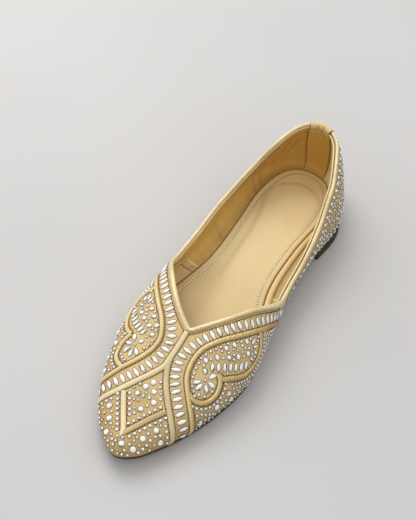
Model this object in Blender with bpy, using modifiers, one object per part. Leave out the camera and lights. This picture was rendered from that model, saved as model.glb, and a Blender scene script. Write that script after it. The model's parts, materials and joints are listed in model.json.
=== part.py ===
"""A woman's pointed toe flat with a V throat, about EU 38, standing on its sole.

The toe points to -Y, +X is the wearer's left and +Z is up. A station is a distance along
the shoe from the back of the heel to the toe tip. The upper follows the last by sections that
fan from the feather edge, where it meets the sole, to the ridge down the middle of the last.
A section's turn runs from 0 at the feather edge to 90 degrees at the ridge.
"""

import bmesh
import bpy
import numpy as np

# Driving dimensions, in metres and degrees
LENGTH = 0.252
ORIGIN_STATION = 0.1262  # the station over the origin
ORIGIN_X = 0.0005
TIP_X = 0.0012
WALL = 0.0018
GAP = 0.0003

# Feather edge from above: station, half width to +X, half width to -X
FEATHER_OUTLINE = (
    (0.006, 0.0159, 0.0166),
    (0.020, 0.0261, 0.0263),
    (0.040, 0.0340, 0.0322),
    (0.075, 0.0310, 0.0319),
    (0.110, 0.0307, 0.0314),
    (0.145, 0.0356, 0.0357),
    (0.175, 0.0388, 0.0378),
    (0.200, 0.0338, 0.0338),
    (0.222, 0.0254, 0.0258),
    (0.238, 0.0167, 0.0165),
    (0.247, 0.0101, 0.0078),
)
# Height of the feather edge: station, height
FEATHER_HEIGHT = (
    (0.000, 0.0080),
    (0.050, 0.0077),
    (0.085, 0.0066),
    (0.120, 0.0055),
    (0.150, 0.0043),
    (0.165, 0.0040),
    (0.198, 0.0040),
    (0.225, 0.0052),
    (0.252, 0.0072),
)
# Ridge of the last, real from the throat to the toe and a guide behind it: station, height
RIDGE = (
    (0.033, 0.0964),
    (0.070, 0.0842),
    (0.110, 0.0750),
    (0.145, 0.0485),
    (0.175, 0.0357),
    (0.205, 0.0239),
    (0.230, 0.0170),
    (0.244, 0.0158),
)
# How square a section is, and how far it swells outwards: station, exponent, swell
FULLNESS = (
    (0.000, 1.07, 0.0090),
    (0.046, 1.07, 0.0090),
    (0.105, 1.86, 0.0056),
    (0.157, 2.65, 0.0023),
    (0.252, 2.65, 0.0023),
)
SWELL_CROWN = 0.8  # below 1 it puts the fullest point low on the wall

# Topline along the quarters: station, turn to +X, turn to -X
TOPLINE = (
    (0.000, 45.8, 45.8),
    (0.020, 45.2, 45.2),
    (0.045, 41.8, 40.2),
    (0.078, 28.8, 29.0),
    (0.106, 18.8, 22.0),
    (0.135, 20.8, 21.8),
)
THROAT_CORNER = {1: 0.133, -1: 0.138}  # where the quarters meet the V, to +X and to -X
THROAT_STATION = 0.1805
THROAT_BOW = 0.085  # how far the edges of the V bow outwards, as a share of the half width
THROAT_ROUND = 0.05

BINDING_RADIUS = 0.0012
RIM_DROP = 0.0016  # the shell stops this far below the middle of its binding
RIM_FORWARD = 0.0019  # and this far ahead of it at the throat

# Sock line, the edge of the footbed's top: station, half width to +X, half width to -X
SOCK_OUTLINE = (
    (0.010, 0.0140, 0.0120),
    (0.025, 0.0211, 0.0200),
    (0.045, 0.0231, 0.0228),
    (0.075, 0.0200, 0.0221),
    (0.110, 0.0200, 0.0226),
    (0.145, 0.0286, 0.0302),
    (0.175, 0.0342, 0.0338),
    (0.200, 0.0302, 0.0302),
    (0.222, 0.0218, 0.0222),
    (0.238, 0.0120, 0.0118),
)
SOCK_BACK = 0.0070
SOCK_FRONT = 0.2455
FOOTBED_RISE = 0.0031
BORDER_RISE = 0.0022
BORDER_WIDTH = 0.0035
BORDER_SHARE = 0.6  # the border takes at most this share of the room outside the sock line
FOOTBED_EDGE = 0.0009  # its upright edge against the upper
FOOTBED_SIDE_GAP = 0.0006

# Underside of the outsole: station, height
TREAD = (
    (0.000, 0.0053),
    (0.066, 0.0050),
    (0.100, 0.0036),
    (0.130, 0.0012),
    (0.150, 0.0000),
    (0.198, 0.0000),
    (0.225, 0.0012),
    (0.252, 0.0042),
)
SOLE_LIP = 0.0004  # the outsole's edge outside the feather edge
BREAST_STATION = 0.066
HEEL_FLARE = 0.0007  # the foot of the heel block outside its top

TAB_HALF_SHARE = 0.036  # of the half outline, to each side of the back
TAB_THICK = 0.0010
TAB_OUTSIDE = 0.0070
TAB_INSIDE = 0.0120
TAB_GAP = 0.0005
TAB_NECK = 0.0020  # below the topline, where the tab still clears the bead
TAB_SHOULDER = 0.0042  # below the topline, where it lies on the leather
TAB_CLEAR = 0.0004  # from the bead
TAB_COLUMNS = 4  # to each side

# Facets
COLUMNS_BEHIND_THROAT = 38
COLUMNS_AHEAD = 16
ROWS = 12
LOOP_STEPS = 40
HEEL_STEPS = 24
SECTION_SAMPLES = 60


def through(rows, column, at):
    """A monotone cubic through one column of a table, so it never swings past a row."""
    table = np.array(rows)
    xs = table[:, 0]
    ys = table[:, column]
    at = np.clip(at, xs[0], xs[-1])
    step = np.diff(xs)
    slope = np.diff(ys) / step
    tangent = np.zeros(len(xs))
    tangent[0], tangent[-1] = slope[0], slope[-1]
    for i in range(1, len(xs) - 1):
        if slope[i - 1] * slope[i] > 0:
            before = 2 * step[i] + step[i - 1]
            after = step[i] + 2 * step[i - 1]
            tangent[i] = (before + after) / (before / slope[i - 1] + after / slope[i])
    k = np.clip(np.searchsorted(xs, at, side="right") - 1, 0, len(step) - 1)
    t = (at - xs[k]) / step[k]
    return (
        (1 + 2 * t) * (1 - t) ** 2 * ys[k]
        + t * (1 - t) ** 2 * step[k] * tangent[k]
        + t * t * (3 - 2 * t) * ys[k + 1]
        + t * t * (t - 1) * step[k] * tangent[k + 1]
    )


def closed_curve(corners, steps=24):
    """A smooth closed curve through corners, with the spans spaced by the root of their length."""
    points = np.array(corners)
    spans = np.sqrt(np.linalg.norm(np.roll(points, -1, 0) - points, axis=1))
    before = np.roll(spans, 1)[:, None]
    after = spans[:, None]
    into = (points - np.roll(points, 1, 0)) / before
    out = (np.roll(points, -1, 0) - points) / after
    tangents = (into * after + out * before) / (before + after)
    t = (np.arange(steps) / steps)[None, :, None]
    here, there = points[:, None], np.roll(points, -1, 0)[:, None]
    leave, arrive = tangents[:, None], np.roll(tangents, -1, 0)[:, None]
    span = spans[:, None, None]
    curve = (
        (1 + 2 * t) * (1 - t) ** 2 * here
        + t * (1 - t) ** 2 * span * leave
        + t * t * (3 - 2 * t) * there
        + t * t * (t - 1) * span * arrive
    )
    return curve.reshape(-1, 2), steps


def half_outlines(rows, back, front, tip_x):
    """Both halves of an outline table, back to front, as (x, station) points."""
    right = [(row[1], row[0]) for row in rows]
    left = [(-row[2], row[0]) for row in rows]
    corners = [(0.0, back)] + right + [(tip_x, front)] + left[::-1]
    curve, steps = closed_curve(corners)
    turn = (len(rows) + 1) * steps
    ahead = curve[: turn + 1]
    behind = np.vstack([curve[turn:], curve[:1]])[::-1]
    return {1: ahead, -1: behind}


FEATHER = half_outlines(FEATHER_OUTLINE, 0.0, LENGTH, TIP_X)
SOCK = half_outlines(SOCK_OUTLINE, SOCK_BACK, SOCK_FRONT, TIP_X)


def along(points, shares):
    """Points at these shares of a polyline's length."""
    lengths = np.linalg.norm(np.diff(points, axis=0), axis=1)
    reach = np.concatenate([[0.0], np.cumsum(lengths)])
    wanted = np.asarray(shares) * reach[-1]
    return np.stack([np.interp(wanted, reach, column) for column in points.T], axis=-1)


def mean_station(shares):
    """The station at this share of the feather edge, halfway between its two sides."""
    return (along(FEATHER[1], shares)[..., 1] + along(FEATHER[-1], shares)[..., 1]) / 2


def share_at_station(station):
    """The share of the feather edge at which it reaches a station."""
    shares = np.linspace(0, 1, 2000)
    return float(np.interp(station, mean_station(shares), shares))


def ridge_station(station):
    """Where the section from this station of the feather edge meets the ridge."""
    first, last = RIDGE[0][0], RIDGE[-1][0]
    return first + (last - first) * station / LENGTH


def skin(side, shares, turns):
    """Points of the upper's outer face; shares run along the feather edge, turns in degrees."""
    shares, turns = np.broadcast_arrays(np.asarray(shares, float), np.asarray(turns, float))
    edge = along(FEATHER[side], shares)
    x, station = edge[..., 0], edge[..., 1]
    fan = mean_station(shares)
    top_station = ridge_station(fan)
    foot = through(FEATHER_HEIGHT, 1, station)
    top = through(RIDGE, 1, top_station)
    power = 2 / through(FULLNESS, 1, fan)
    angle = np.radians(np.clip(turns, 0, 90))
    inwards = 1 - np.clip(np.cos(angle), 0, 1) ** power
    upwards = np.clip(np.sin(angle), 0, 1) ** power
    swell = through(FULLNESS, 2, fan) * np.sin(np.pi * upwards**SWELL_CROWN)
    to_edge = np.stack([x, station - top_station], axis=-1)
    to_edge /= np.linalg.norm(to_edge, axis=-1, keepdims=True)
    out_x = x * (1 - inwards) + swell * to_edge[..., 0]
    out_station = station + (top_station - station) * inwards + swell * to_edge[..., 1]
    height = foot + (top - foot) * upwards
    return np.stack([out_x, out_station, height], axis=-1)


def skin_normal(side, shares, turns, step=1e-3):
    """Outward unit normals of the skin, from differences along and across it."""
    shares = np.asarray(shares, float)
    turns = np.asarray(turns, float)
    low, high = np.clip(shares - step, 0, 1), np.clip(shares + step, 0, 1)
    forward = skin(side, high, turns) - skin(side, low, turns)
    upward = skin(side, shares, turns + 0.5) - skin(side, shares, turns - 0.5)
    normal = np.cross(forward, upward) * side
    return normal / np.linalg.norm(normal, axis=-1, keepdims=True)


def throat_edge_station(forward):
    """The station of the feather edge whose section meets the ridge at the throat."""
    first, last = RIDGE[0][0], RIDGE[-1][0]
    return (THROAT_STATION + forward - first) * LENGTH / (last - first)


def topline_turn(side, station, forward=0.0):
    """The section turn at which the upper ends, from the heel's back round to the throat."""
    column = 1 if side > 0 else 2
    corner = THROAT_CORNER[side]
    tip = throat_edge_station(forward)
    quarter = through(TOPLINE, column, station)
    bend = corner + forward
    share = np.clip((station - bend) / (tip - bend), 0, 1)
    rounded = np.sqrt(1 + THROAT_ROUND**2) - THROAT_ROUND
    fall = np.sqrt(((1 - share) * rounded + THROAT_ROUND) ** 2 - THROAT_ROUND**2)
    power = 2 / through(FULLNESS, 1, station)
    start = np.cos(np.radians(through(TOPLINE, column, corner)))
    start **= 2 / through(FULLNESS, 1, corner)
    width = np.clip(start * fall + 4 * THROAT_BOW * share * (1 - share), 0, 1)
    vee = np.degrees(np.arccos(width ** (1 / power)))
    return np.where(station <= bend, quarter, np.where(share < 1, vee, 90.0))


def column_shares(forward=0.0):
    """Shares of the feather edge for the upper's columns, close together at back and throat."""
    throat = share_at_station(throat_edge_station(forward))
    even = np.linspace(0, 1, COLUMNS_BEHIND_THROAT + 1)
    behind = throat * (0.4 * even + 0.3 * (1 - np.cos(np.pi * even)))
    ahead = np.linspace(throat, 1, COLUMNS_AHEAD + 1)[1:]
    return np.concatenate([behind, ahead]), COLUMNS_BEHIND_THROAT


def column_turns(side, share, top_turn, drop, rows):
    """Turns that divide one section evenly by length, up to a drop below its top."""
    turns = np.linspace(0, top_turn, SECTION_SAMPLES)
    points = skin(side, np.full(SECTION_SAMPLES, share), turns)
    reach = np.concatenate([[0], np.cumsum(np.linalg.norm(np.diff(points, axis=0), axis=1))])
    return np.interp(np.linspace(0, reach[-1] - drop, rows + 1), reach, turns)


def to_world(points):
    """(x, station, height) points as world coordinates, toe to -Y."""
    points = np.asarray(points, float)
    across = points[..., 0] - ORIGIN_X
    back = ORIGIN_STATION - points[..., 1]
    return np.stack([across, back, points[..., 2]], axis=-1)


def clear_scene():
    for thing in list(bpy.data.objects):
        bpy.data.objects.remove(thing, do_unlink=True)


def make_material(name, colour, roughness, metallic=0.0):
    material = bpy.data.materials.new(name)
    material.use_nodes = True
    shader = material.node_tree.nodes["Principled BSDF"]
    shader.inputs["Base Color"].default_value = (*colour, 1.0)
    shader.inputs["Roughness"].default_value = roughness
    shader.inputs["Metallic"].default_value = metallic
    return material


def add_mesh(collection, name, points, faces, material):
    """An object from world points and faces, its doubled points merged and its faces outwards."""
    mesh = bpy.data.meshes.new(name)
    mesh.from_pydata([tuple(point) for point in points], [], faces)
    work = bmesh.new()
    work.from_mesh(mesh)
    bmesh.ops.remove_doubles(work, verts=work.verts, dist=1e-6)
    bmesh.ops.dissolve_degenerate(work, edges=work.edges, dist=1e-7)
    bmesh.ops.recalc_face_normals(work, faces=work.faces)
    work.to_mesh(mesh)
    work.free()
    mesh.materials.append(material)
    mesh.shade_smooth()
    part = bpy.data.objects.new(name, mesh)
    collection.objects.link(part)
    return part


def grid_faces(columns, rows, offset, flip):
    """Quads of a grid of columns, each of rows points, numbered from offset."""
    faces = []
    for i in range(columns - 1):
        for j in range(rows - 1):
            a = offset + i * rows + j
            quad = (a, a + rows, a + rows + 1, a + 1)
            faces.append(quad[::-1] if flip else quad)
    return faces


def build_upper(collection, material):
    """Vamp and quarters: the open skin, thickened inwards."""
    points, faces = [], []
    for side in (1, -1):
        shares, throat = column_shares(RIM_FORWARD)
        for i, share in enumerate(shares):
            station = float(mean_station(share))
            top_turn = 90.0
            if i < throat:
                top_turn = float(topline_turn(side, station, RIM_FORWARD))
            drop = RIM_DROP if i < throat else 0.0
            turns = column_turns(side, share, top_turn, drop, ROWS)
            points.extend(skin(side, np.full(ROWS + 1, share), turns))
        offset = 0 if side > 0 else len(points) - len(shares) * (ROWS + 1)
        faces += grid_faces(len(shares), ROWS + 1, offset, side < 0)
    upper = add_mesh(collection, "upper", to_world(points), faces, material)
    shell = upper.modifiers.new("wall", "SOLIDIFY")
    shell.thickness = WALL
    shell.offset = -1.0
    shell.use_even_offset = True
    shell.use_rim = True
    return upper


def topline_points(side, depth):
    """The topline of one side, heel to throat, sunk this far into the wall."""
    shares, throat = column_shares()
    shares = shares[: throat + 1]
    turns = topline_turn(side, mean_station(shares))
    turns[-1] = 90.0
    points = skin(side, shares, turns)
    return points - depth * skin_normal(side, shares, np.minimum(turns, 89.4))


def build_binding(collection, material):
    """A round bead on the shell's rim, closed at the back and at the throat."""
    right = topline_points(1, WALL / 2)
    left = topline_points(-1, WALL / 2)
    right[0, 0] = 0.0
    right[-1] = (right[-1] + left[-1]) / 2
    loop = to_world(np.vstack([right, left[-2:0:-1]]))
    curve = bpy.data.curves.new("topline_binding", "CURVE")
    curve.dimensions = "3D"
    curve.bevel_depth = BINDING_RADIUS
    curve.bevel_resolution = 2
    spline = curve.splines.new("POLY")
    spline.points.add(len(loop) - 1)
    for point, place in zip(spline.points, loop):
        point.co = (*place, 1.0)
    spline.use_cyclic_u = True
    curve.materials.append(material)
    binding = bpy.data.objects.new("topline_binding", curve)
    collection.objects.link(binding)
    return binding


def loop_outline(halves, grow=0.0, steps=LOOP_STEPS):
    """A closed ring of (x, station): up the +X half and back down the -X half."""
    shares = (1 - np.cos(np.pi * np.arange(steps + 1) / steps)) / 2
    shares = 0.5 * shares + 0.5 * np.arange(steps + 1) / steps
    ring = np.vstack([along(halves[1], shares), along(halves[-1], shares)[-2:0:-1]])
    tangent = np.roll(ring, -1, 0) - np.roll(ring, 1, 0)
    tangent /= np.linalg.norm(tangent, axis=1, keepdims=True)
    normal = np.stack([tangent[:, 1], -tangent[:, 0]], axis=1)
    return ring + grow * normal


def loft(collection, name, rings, material):
    """A closed solid from rings of points, bottom to top, capped by strips from side to side."""
    count = len(rings[0])
    half = count // 2
    points = np.vstack(rings)
    faces = []
    for level in range(len(rings) - 1):
        for i in range(count):
            a = level * count + i
            b = level * count + (i + 1) % count
            faces.append((a, b, b + count, a + count))
    for start, flip in ((0, True), ((len(rings) - 1) * count, False)):
        for i in range(half):
            pair = [start + i, start + i + 1]
            across = [start + (count - i - 1) % count, start + (count - i) % count]
            quad = list(dict.fromkeys(pair + across))
            faces.append(tuple(quad[::-1] if flip else quad))
    return add_mesh(collection, name, to_world(points), faces, material)


def raised(ring, heights):
    """A flat ring of (x, station) with these heights."""
    return np.column_stack([ring, np.broadcast_to(heights, len(ring))])


def build_footbed(collection, material):
    """The padded insole: it fills the bottom of the upper and rises to the sock line."""
    base = loop_outline(FEATHER, -(WALL + FOOTBED_SIDE_GAP))
    border = loop_outline(SOCK, 0.0)
    outward = base - border
    reach = np.linalg.norm(outward, axis=1, keepdims=True)
    shoulder = border + outward * np.minimum(BORDER_WIDTH / reach, BORDER_SHARE)
    steps = (
        (base, 0.0),
        (base, FOOTBED_EDGE),
        (shoulder, BORDER_RISE),
        (border, FOOTBED_RISE),
    )
    rings = []
    for ring, rise in steps:
        rings.append(raised(ring, through(FEATHER_HEIGHT, 1, ring[:, 1]) + rise))
    return loft(collection, "footbed", rings, material)


def build_outsole(collection, material):
    """One thin sole from the toe to the back of the heel."""
    ring = loop_outline(FEATHER, SOLE_LIP)
    under = raised(ring, through(TREAD, 1, ring[:, 1]))
    over = raised(ring, through(FEATHER_HEIGHT, 1, ring[:, 1]) - GAP)
    return loft(collection, "outsole", [under, over], material)


def build_heel_block(collection, material):
    """The heel: the outline behind the breast line, carried straight down to the ground."""
    halves = {}
    for side in (1, -1):
        share = share_at_station(BREAST_STATION)
        halves[side] = along(FEATHER[side], np.linspace(0, share, HEEL_STEPS))
    rings = []
    for grow, top in ((SOLE_LIP + HEEL_FLARE, False), (SOLE_LIP, True)):
        right, left = (half_ring(halves[side], grow, side) for side in (1, -1))
        ring = np.vstack([right, left[:0:-1]])
        height = through(TREAD, 1, ring[:, 1]) - GAP if top else 0.0
        rings.append(raised(ring, height))
    return loft(collection, "heel_block", rings, material)


def half_ring(points, grow, side):
    """One half of the heel's outline, grown outwards everywhere but at the breast."""
    tangent = np.gradient(points, axis=0)
    tangent[0] = (side, 0.0)
    tangent[-1] = (0.0, 1.0)
    tangent /= np.linalg.norm(tangent, axis=1, keepdims=True)
    normal = np.stack([tangent[:, 1], -tangent[:, 0]], axis=1) * side
    return points + grow * normal


def build_heel_tab(collection, material):
    """A strip folded over the binding at the back, down the outside and down the inside."""
    path = tab_path()
    shares = np.linspace(0, TAB_HALF_SHARE, TAB_COLUMNS + 1)
    columns = [(-1, share) for share in shares[:0:-1]] + [(1, share) for share in shares]
    points = []
    for side, share in columns:
        top_turn = float(topline_turn(side, mean_station(share)))
        turns = np.linspace(0, top_turn, SECTION_SAMPLES)
        line = skin(side, np.full(SECTION_SAMPLES, share), turns)
        reach = np.concatenate([[0], np.cumsum(np.linalg.norm(np.diff(line, axis=0), axis=1))])
        edge = line[-1]
        edge_normal = skin_normal(side, share, top_turn)
        upward = skin(side, share, top_turn) - skin(side, share, top_turn - 1.0)
        upward /= np.linalg.norm(upward)
        for below, out in path:
            turn = float(np.interp(reach[-1] - max(below, 0.0), reach, turns))
            normal = skin_normal(side, share, turn)
            place = skin(side, share, turn) if below > 0 else edge - upward * below
            points.append(place + (normal if below > 0 else edge_normal) * out)
    faces = grid_faces(len(columns), len(path), 0, False)
    tab = add_mesh(collection, "heel_tab", to_world(points), faces, material)
    shell = tab.modifiers.new("leather", "SOLIDIFY")
    shell.thickness = TAB_THICK
    shell.offset = 1.0
    shell.use_even_offset = True
    return tab


def tab_path():
    """The tab's under face across the topline: distance below it, distance out of the skin."""
    radius = BINDING_RADIUS + TAB_CLEAR
    outside = [(TAB_OUTSIDE, TAB_GAP), (TAB_SHOULDER, TAB_GAP), (TAB_NECK, radius - WALL / 2)]
    over = []
    for degrees in range(0, 181, 30):
        angle = np.radians(degrees)
        over.append((-radius * np.sin(angle), radius * np.cos(angle) - WALL / 2))
    leg = -WALL - TAB_GAP
    inside = [(TAB_NECK, -radius - WALL / 2), (TAB_SHOULDER, leg), (TAB_INSIDE, leg)]
    return outside + over + inside


def main():
    clear_scene()
    parts = bpy.data.collections.new("pointed_toe_flat")
    bpy.context.scene.collection.children.link(parts)
    gold = make_material("gold_leather", (0.62, 0.47, 0.27), 0.5, 0.2)
    pale = make_material("pale_gold_binding", (0.80, 0.66, 0.42), 0.35, 0.4)
    sock = make_material("sock_leather", (0.72, 0.57, 0.34), 0.55)
    brown = make_material("sole_brown", (0.07, 0.045, 0.03), 0.55)
    build_upper(parts, gold)
    build_binding(parts, pale)
    build_footbed(parts, sock)
    build_outsole(parts, brown)
    build_heel_block(parts, brown)
    build_heel_tab(parts, gold)


main()
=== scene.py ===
"""Looks of the pointed toe flat: leather, piping, corded ribs, stones, lining and padded sock.

Shoe coordinates are (x, station, height) in metres: x across, station along the shoe from the back
of the heel to the toe, height above the ground. The toe points to -Y in the world.
Ornament is laid out on the upper by "ridge" and "girth" in millimetres: the station at which a
section of the upper meets the ridge of the last, and the distance down that section from the ridge.
"""

import json
import math

import bmesh
import bpy
import numpy as np
from mathutils import Matrix, Vector

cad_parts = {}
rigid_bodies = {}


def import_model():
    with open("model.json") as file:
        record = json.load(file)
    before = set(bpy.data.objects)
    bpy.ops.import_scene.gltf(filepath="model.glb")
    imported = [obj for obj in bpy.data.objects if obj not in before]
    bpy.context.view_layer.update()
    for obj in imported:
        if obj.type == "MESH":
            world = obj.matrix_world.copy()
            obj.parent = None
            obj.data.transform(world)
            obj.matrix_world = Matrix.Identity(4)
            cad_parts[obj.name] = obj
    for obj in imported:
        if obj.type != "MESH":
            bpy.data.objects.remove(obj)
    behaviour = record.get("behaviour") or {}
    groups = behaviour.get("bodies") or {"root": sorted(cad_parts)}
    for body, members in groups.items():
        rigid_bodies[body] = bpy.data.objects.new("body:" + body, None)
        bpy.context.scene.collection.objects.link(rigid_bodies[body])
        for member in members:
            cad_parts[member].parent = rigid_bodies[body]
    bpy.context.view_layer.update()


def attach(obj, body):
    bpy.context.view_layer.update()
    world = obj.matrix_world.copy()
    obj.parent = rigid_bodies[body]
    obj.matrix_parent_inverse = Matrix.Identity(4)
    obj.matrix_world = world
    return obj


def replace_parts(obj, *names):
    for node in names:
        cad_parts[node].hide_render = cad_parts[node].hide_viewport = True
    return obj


for thing in list(bpy.data.objects):
    bpy.data.objects.remove(thing, do_unlink=True)
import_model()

# The last, as the CAD part has it: metres and degrees
LENGTH = 0.252
ORIGIN_STATION = 0.1262
ORIGIN_X = 0.0005
TIP_X = 0.0012
WALL = 0.0018
GAP = 0.0003
# Feather edge from above: station, half width to +X, half width to -X
FEATHER_OUTLINE = (
    (0.006, 0.0159, 0.0166),
    (0.020, 0.0261, 0.0263),
    (0.040, 0.0340, 0.0322),
    (0.075, 0.0310, 0.0319),
    (0.110, 0.0307, 0.0314),
    (0.145, 0.0356, 0.0357),
    (0.175, 0.0388, 0.0378),
    (0.200, 0.0338, 0.0338),
    (0.222, 0.0254, 0.0258),
    (0.238, 0.0167, 0.0165),
    (0.247, 0.0101, 0.0078),
)
# Height of the feather edge: station, height
FEATHER_HEIGHT = (
    (0.000, 0.0080),
    (0.050, 0.0077),
    (0.085, 0.0066),
    (0.120, 0.0055),
    (0.150, 0.0043),
    (0.165, 0.0040),
    (0.198, 0.0040),
    (0.225, 0.0052),
    (0.252, 0.0072),
)
# Ridge of the last: station, height
RIDGE = (
    (0.033, 0.0964),
    (0.070, 0.0842),
    (0.110, 0.0750),
    (0.145, 0.0485),
    (0.175, 0.0357),
    (0.205, 0.0239),
    (0.230, 0.0170),
    (0.244, 0.0158),
)
# Section: station, exponent, swell
FULLNESS = (
    (0.000, 1.07, 0.0090),
    (0.046, 1.07, 0.0090),
    (0.105, 1.86, 0.0056),
    (0.157, 2.65, 0.0023),
    (0.252, 2.65, 0.0023),
)
SWELL_CROWN = 0.8
# Inward lean of the -X wall: station and reach in metres, lean in millimetres, full from this rise up
LEAN = ((0.080, 0.015, 1.0), (0.030, 0.009, 0.6), (0.044, 0.007, 0.35))
LEAN_RISE = 0.45
# Topline along the quarters: station, turn to +X, turn to -X
TOPLINE = (
    (0.000, 45.8, 45.8),
    (0.020, 45.2, 45.2),
    (0.045, 41.8, 40.2),
    (0.078, 28.8, 29.0),
    (0.106, 18.8, 22.0),
    (0.135, 20.8, 21.8),
)
THROAT_CORNER = {1: 0.133, -1: 0.138}
THROAT_STATION = 0.1805
THROAT_BOW = 0.085
THROAT_ROUND = 0.05
# Sock line: station, half width to +X, half width to -X
SOCK_OUTLINE = (
    (0.010, 0.0112, 0.0102),
    (0.015, 0.0162, 0.0152),
    (0.025, 0.0208, 0.0198),
    (0.045, 0.0231, 0.0228),
    (0.075, 0.0200, 0.0221),
    (0.110, 0.0200, 0.0226),
    (0.145, 0.0286, 0.0302),
    (0.175, 0.0342, 0.0338),
    (0.200, 0.0302, 0.0302),
    (0.222, 0.0218, 0.0222),
    (0.238, 0.0120, 0.0118),
)
SOCK_BACK = 0.0070
SOCK_FRONT = 0.2455
SOCK_RISE = 0.0031
# Underside of the outsole: station, height
TREAD = (
    (0.000, 0.0053),
    (0.066, 0.0050),
    (0.100, 0.0036),
    (0.130, 0.0012),
    (0.150, 0.0000),
    (0.198, 0.0000),
    (0.225, 0.0012),
    (0.252, 0.0042),
)
SOLE_LIP = 0.0004
BREAST_STATION = 0.066

MM = 0.001
SIDES = (1, -1)  # +X and -X
COLUMN = {1: 1, -1: 2}  # of a side, in the tables that hold both


# ---------------------------------------------------------------- the last


def bell(distance, reach):
    """A soft bump: 1 at distance 0, and almost 0 at twice its reach."""
    return np.exp(-((distance / reach) ** 2))


def clamped(value):
    """Kept between 0 and 1."""
    return np.clip(value, 0, 1)


def smooth_step(value):
    """An eased step from 0 to 1 of a value between 0 and 1."""
    return value * value * (3 - 2 * value)


def cubic(t, span, here, leave, there, arrive):
    """From here to there as t runs from 0 to 1 over a span, with a tangent at either end."""
    return (
        (1 + 2 * t) * (1 - t) ** 2 * here
        + t * (1 - t) ** 2 * span * leave
        + t * t * (3 - 2 * t) * there
        + t * t * (t - 1) * span * arrive
    )


def through(rows, column, at):
    """A monotone cubic through one column of a table."""
    table = np.array(rows)
    xs = table[:, 0]
    ys = table[:, column]
    at = np.clip(at, xs[0], xs[-1])
    step = np.diff(xs)
    slope = np.diff(ys) / step
    tangent = np.zeros(len(xs))
    tangent[0], tangent[-1] = slope[0], slope[-1]
    for i in range(1, len(xs) - 1):
        if slope[i - 1] * slope[i] > 0:
            before = 2 * step[i] + step[i - 1]
            after = step[i] + 2 * step[i - 1]
            tangent[i] = (before + after) / (before / slope[i - 1] + after / slope[i])
    k = np.clip(np.searchsorted(xs, at, side="right") - 1, 0, len(step) - 1)
    t = (at - xs[k]) / step[k]
    return cubic(t, step[k], ys[k], tangent[k], ys[k + 1], tangent[k + 1])


def spline(corners, steps=24, closed=False):
    """A smooth curve through corners, with the spans spaced by the root of their length."""
    points = np.array(corners, float)
    if closed:
        spans = np.sqrt(np.linalg.norm(np.roll(points, -1, 0) - points, axis=1))
        before = np.roll(spans, 1)[:, None]
        after = spans[:, None]
        into = (points - np.roll(points, 1, 0)) / before
        out = (np.roll(points, -1, 0) - points) / after
        tangents = (into * after + out * before) / (before + after)
        here, there = points, np.roll(points, -1, 0)
        leave, arrive = tangents, np.roll(tangents, -1, 0)
    else:
        spans = np.sqrt(np.linalg.norm(np.diff(points, axis=0), axis=1))
        slopes = np.diff(points, axis=0) / spans[:, None]
        before, after = spans[:-1, None], spans[1:, None]
        inner = (slopes[:-1] * after + slopes[1:] * before) / (before + after)
        tangents = np.vstack([slopes[:1], inner, slopes[-1:]])
        here, there = points[:-1], points[1:]
        leave, arrive = tangents[:-1], tangents[1:]
    t = (np.arange(steps) / steps)[None, :, None]
    span = spans[:, None, None]
    here, there, leave, arrive = (a[:, None] for a in (here, there, leave, arrive))
    curve = cubic(t, span, here, leave, there, arrive).reshape(-1, points.shape[1])
    return curve if closed else np.vstack([curve, points[-1:]])


def edge_height(stations):
    """Height of the feather edge."""
    return through(FEATHER_HEIGHT, 1, stations)


def half_outlines(rows, back, front, tip_x):
    """Both halves of an outline table, back to front, as (x, station) points."""
    right = [(row[1], row[0]) for row in rows]
    left = [(-row[2], row[0]) for row in rows]
    corners = [(0.0, back)] + right + [(tip_x, front)] + left[::-1]
    curve = spline(corners, closed=True)
    turn = (len(rows) + 1) * len(curve) // len(corners)
    behind = np.vstack([curve[turn:], curve[:1]])[::-1]
    return {1: curve[: turn + 1], -1: behind}


FEATHER = half_outlines(FEATHER_OUTLINE, 0.0, LENGTH, TIP_X)
SOCK = half_outlines(SOCK_OUTLINE, SOCK_BACK, SOCK_FRONT, TIP_X)


def closed_ring(right, left):
    """A closed ring from two halves that share their first and last rows."""
    return np.concatenate([right, left[-2:0:-1]])


def reach_of(points):
    """The running length of a polyline."""
    lengths = np.linalg.norm(np.diff(points, axis=0), axis=1)
    return np.concatenate([[0.0], np.cumsum(lengths)])


def along(points, shares):
    """Points at these shares of a polyline's length."""
    reach = reach_of(points)
    wanted = np.asarray(shares) * reach[-1]
    return np.stack([np.interp(wanted, reach, column) for column in points.T], axis=-1)


def mean_station(shares):
    """The station between the two sides' feather edges at these shares."""
    return (along(FEATHER[1], shares)[..., 1] + along(FEATHER[-1], shares)[..., 1]) / 2


FINE_SHARES = np.linspace(0, 1, 2000)
FINE_STATIONS = mean_station(FINE_SHARES)
RIDGE_FIRST, RIDGE_LAST = RIDGE[0][0], RIDGE[-1][0]


def ridge_of(shares):
    """The station at which the sections from these shares meet the ridge."""
    return RIDGE_FIRST + (RIDGE_LAST - RIDGE_FIRST) * mean_station(shares) / LENGTH


def share_at_station(station):
    """The share whose mean station this is."""
    return np.interp(station, FINE_STATIONS, FINE_SHARES)


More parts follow.
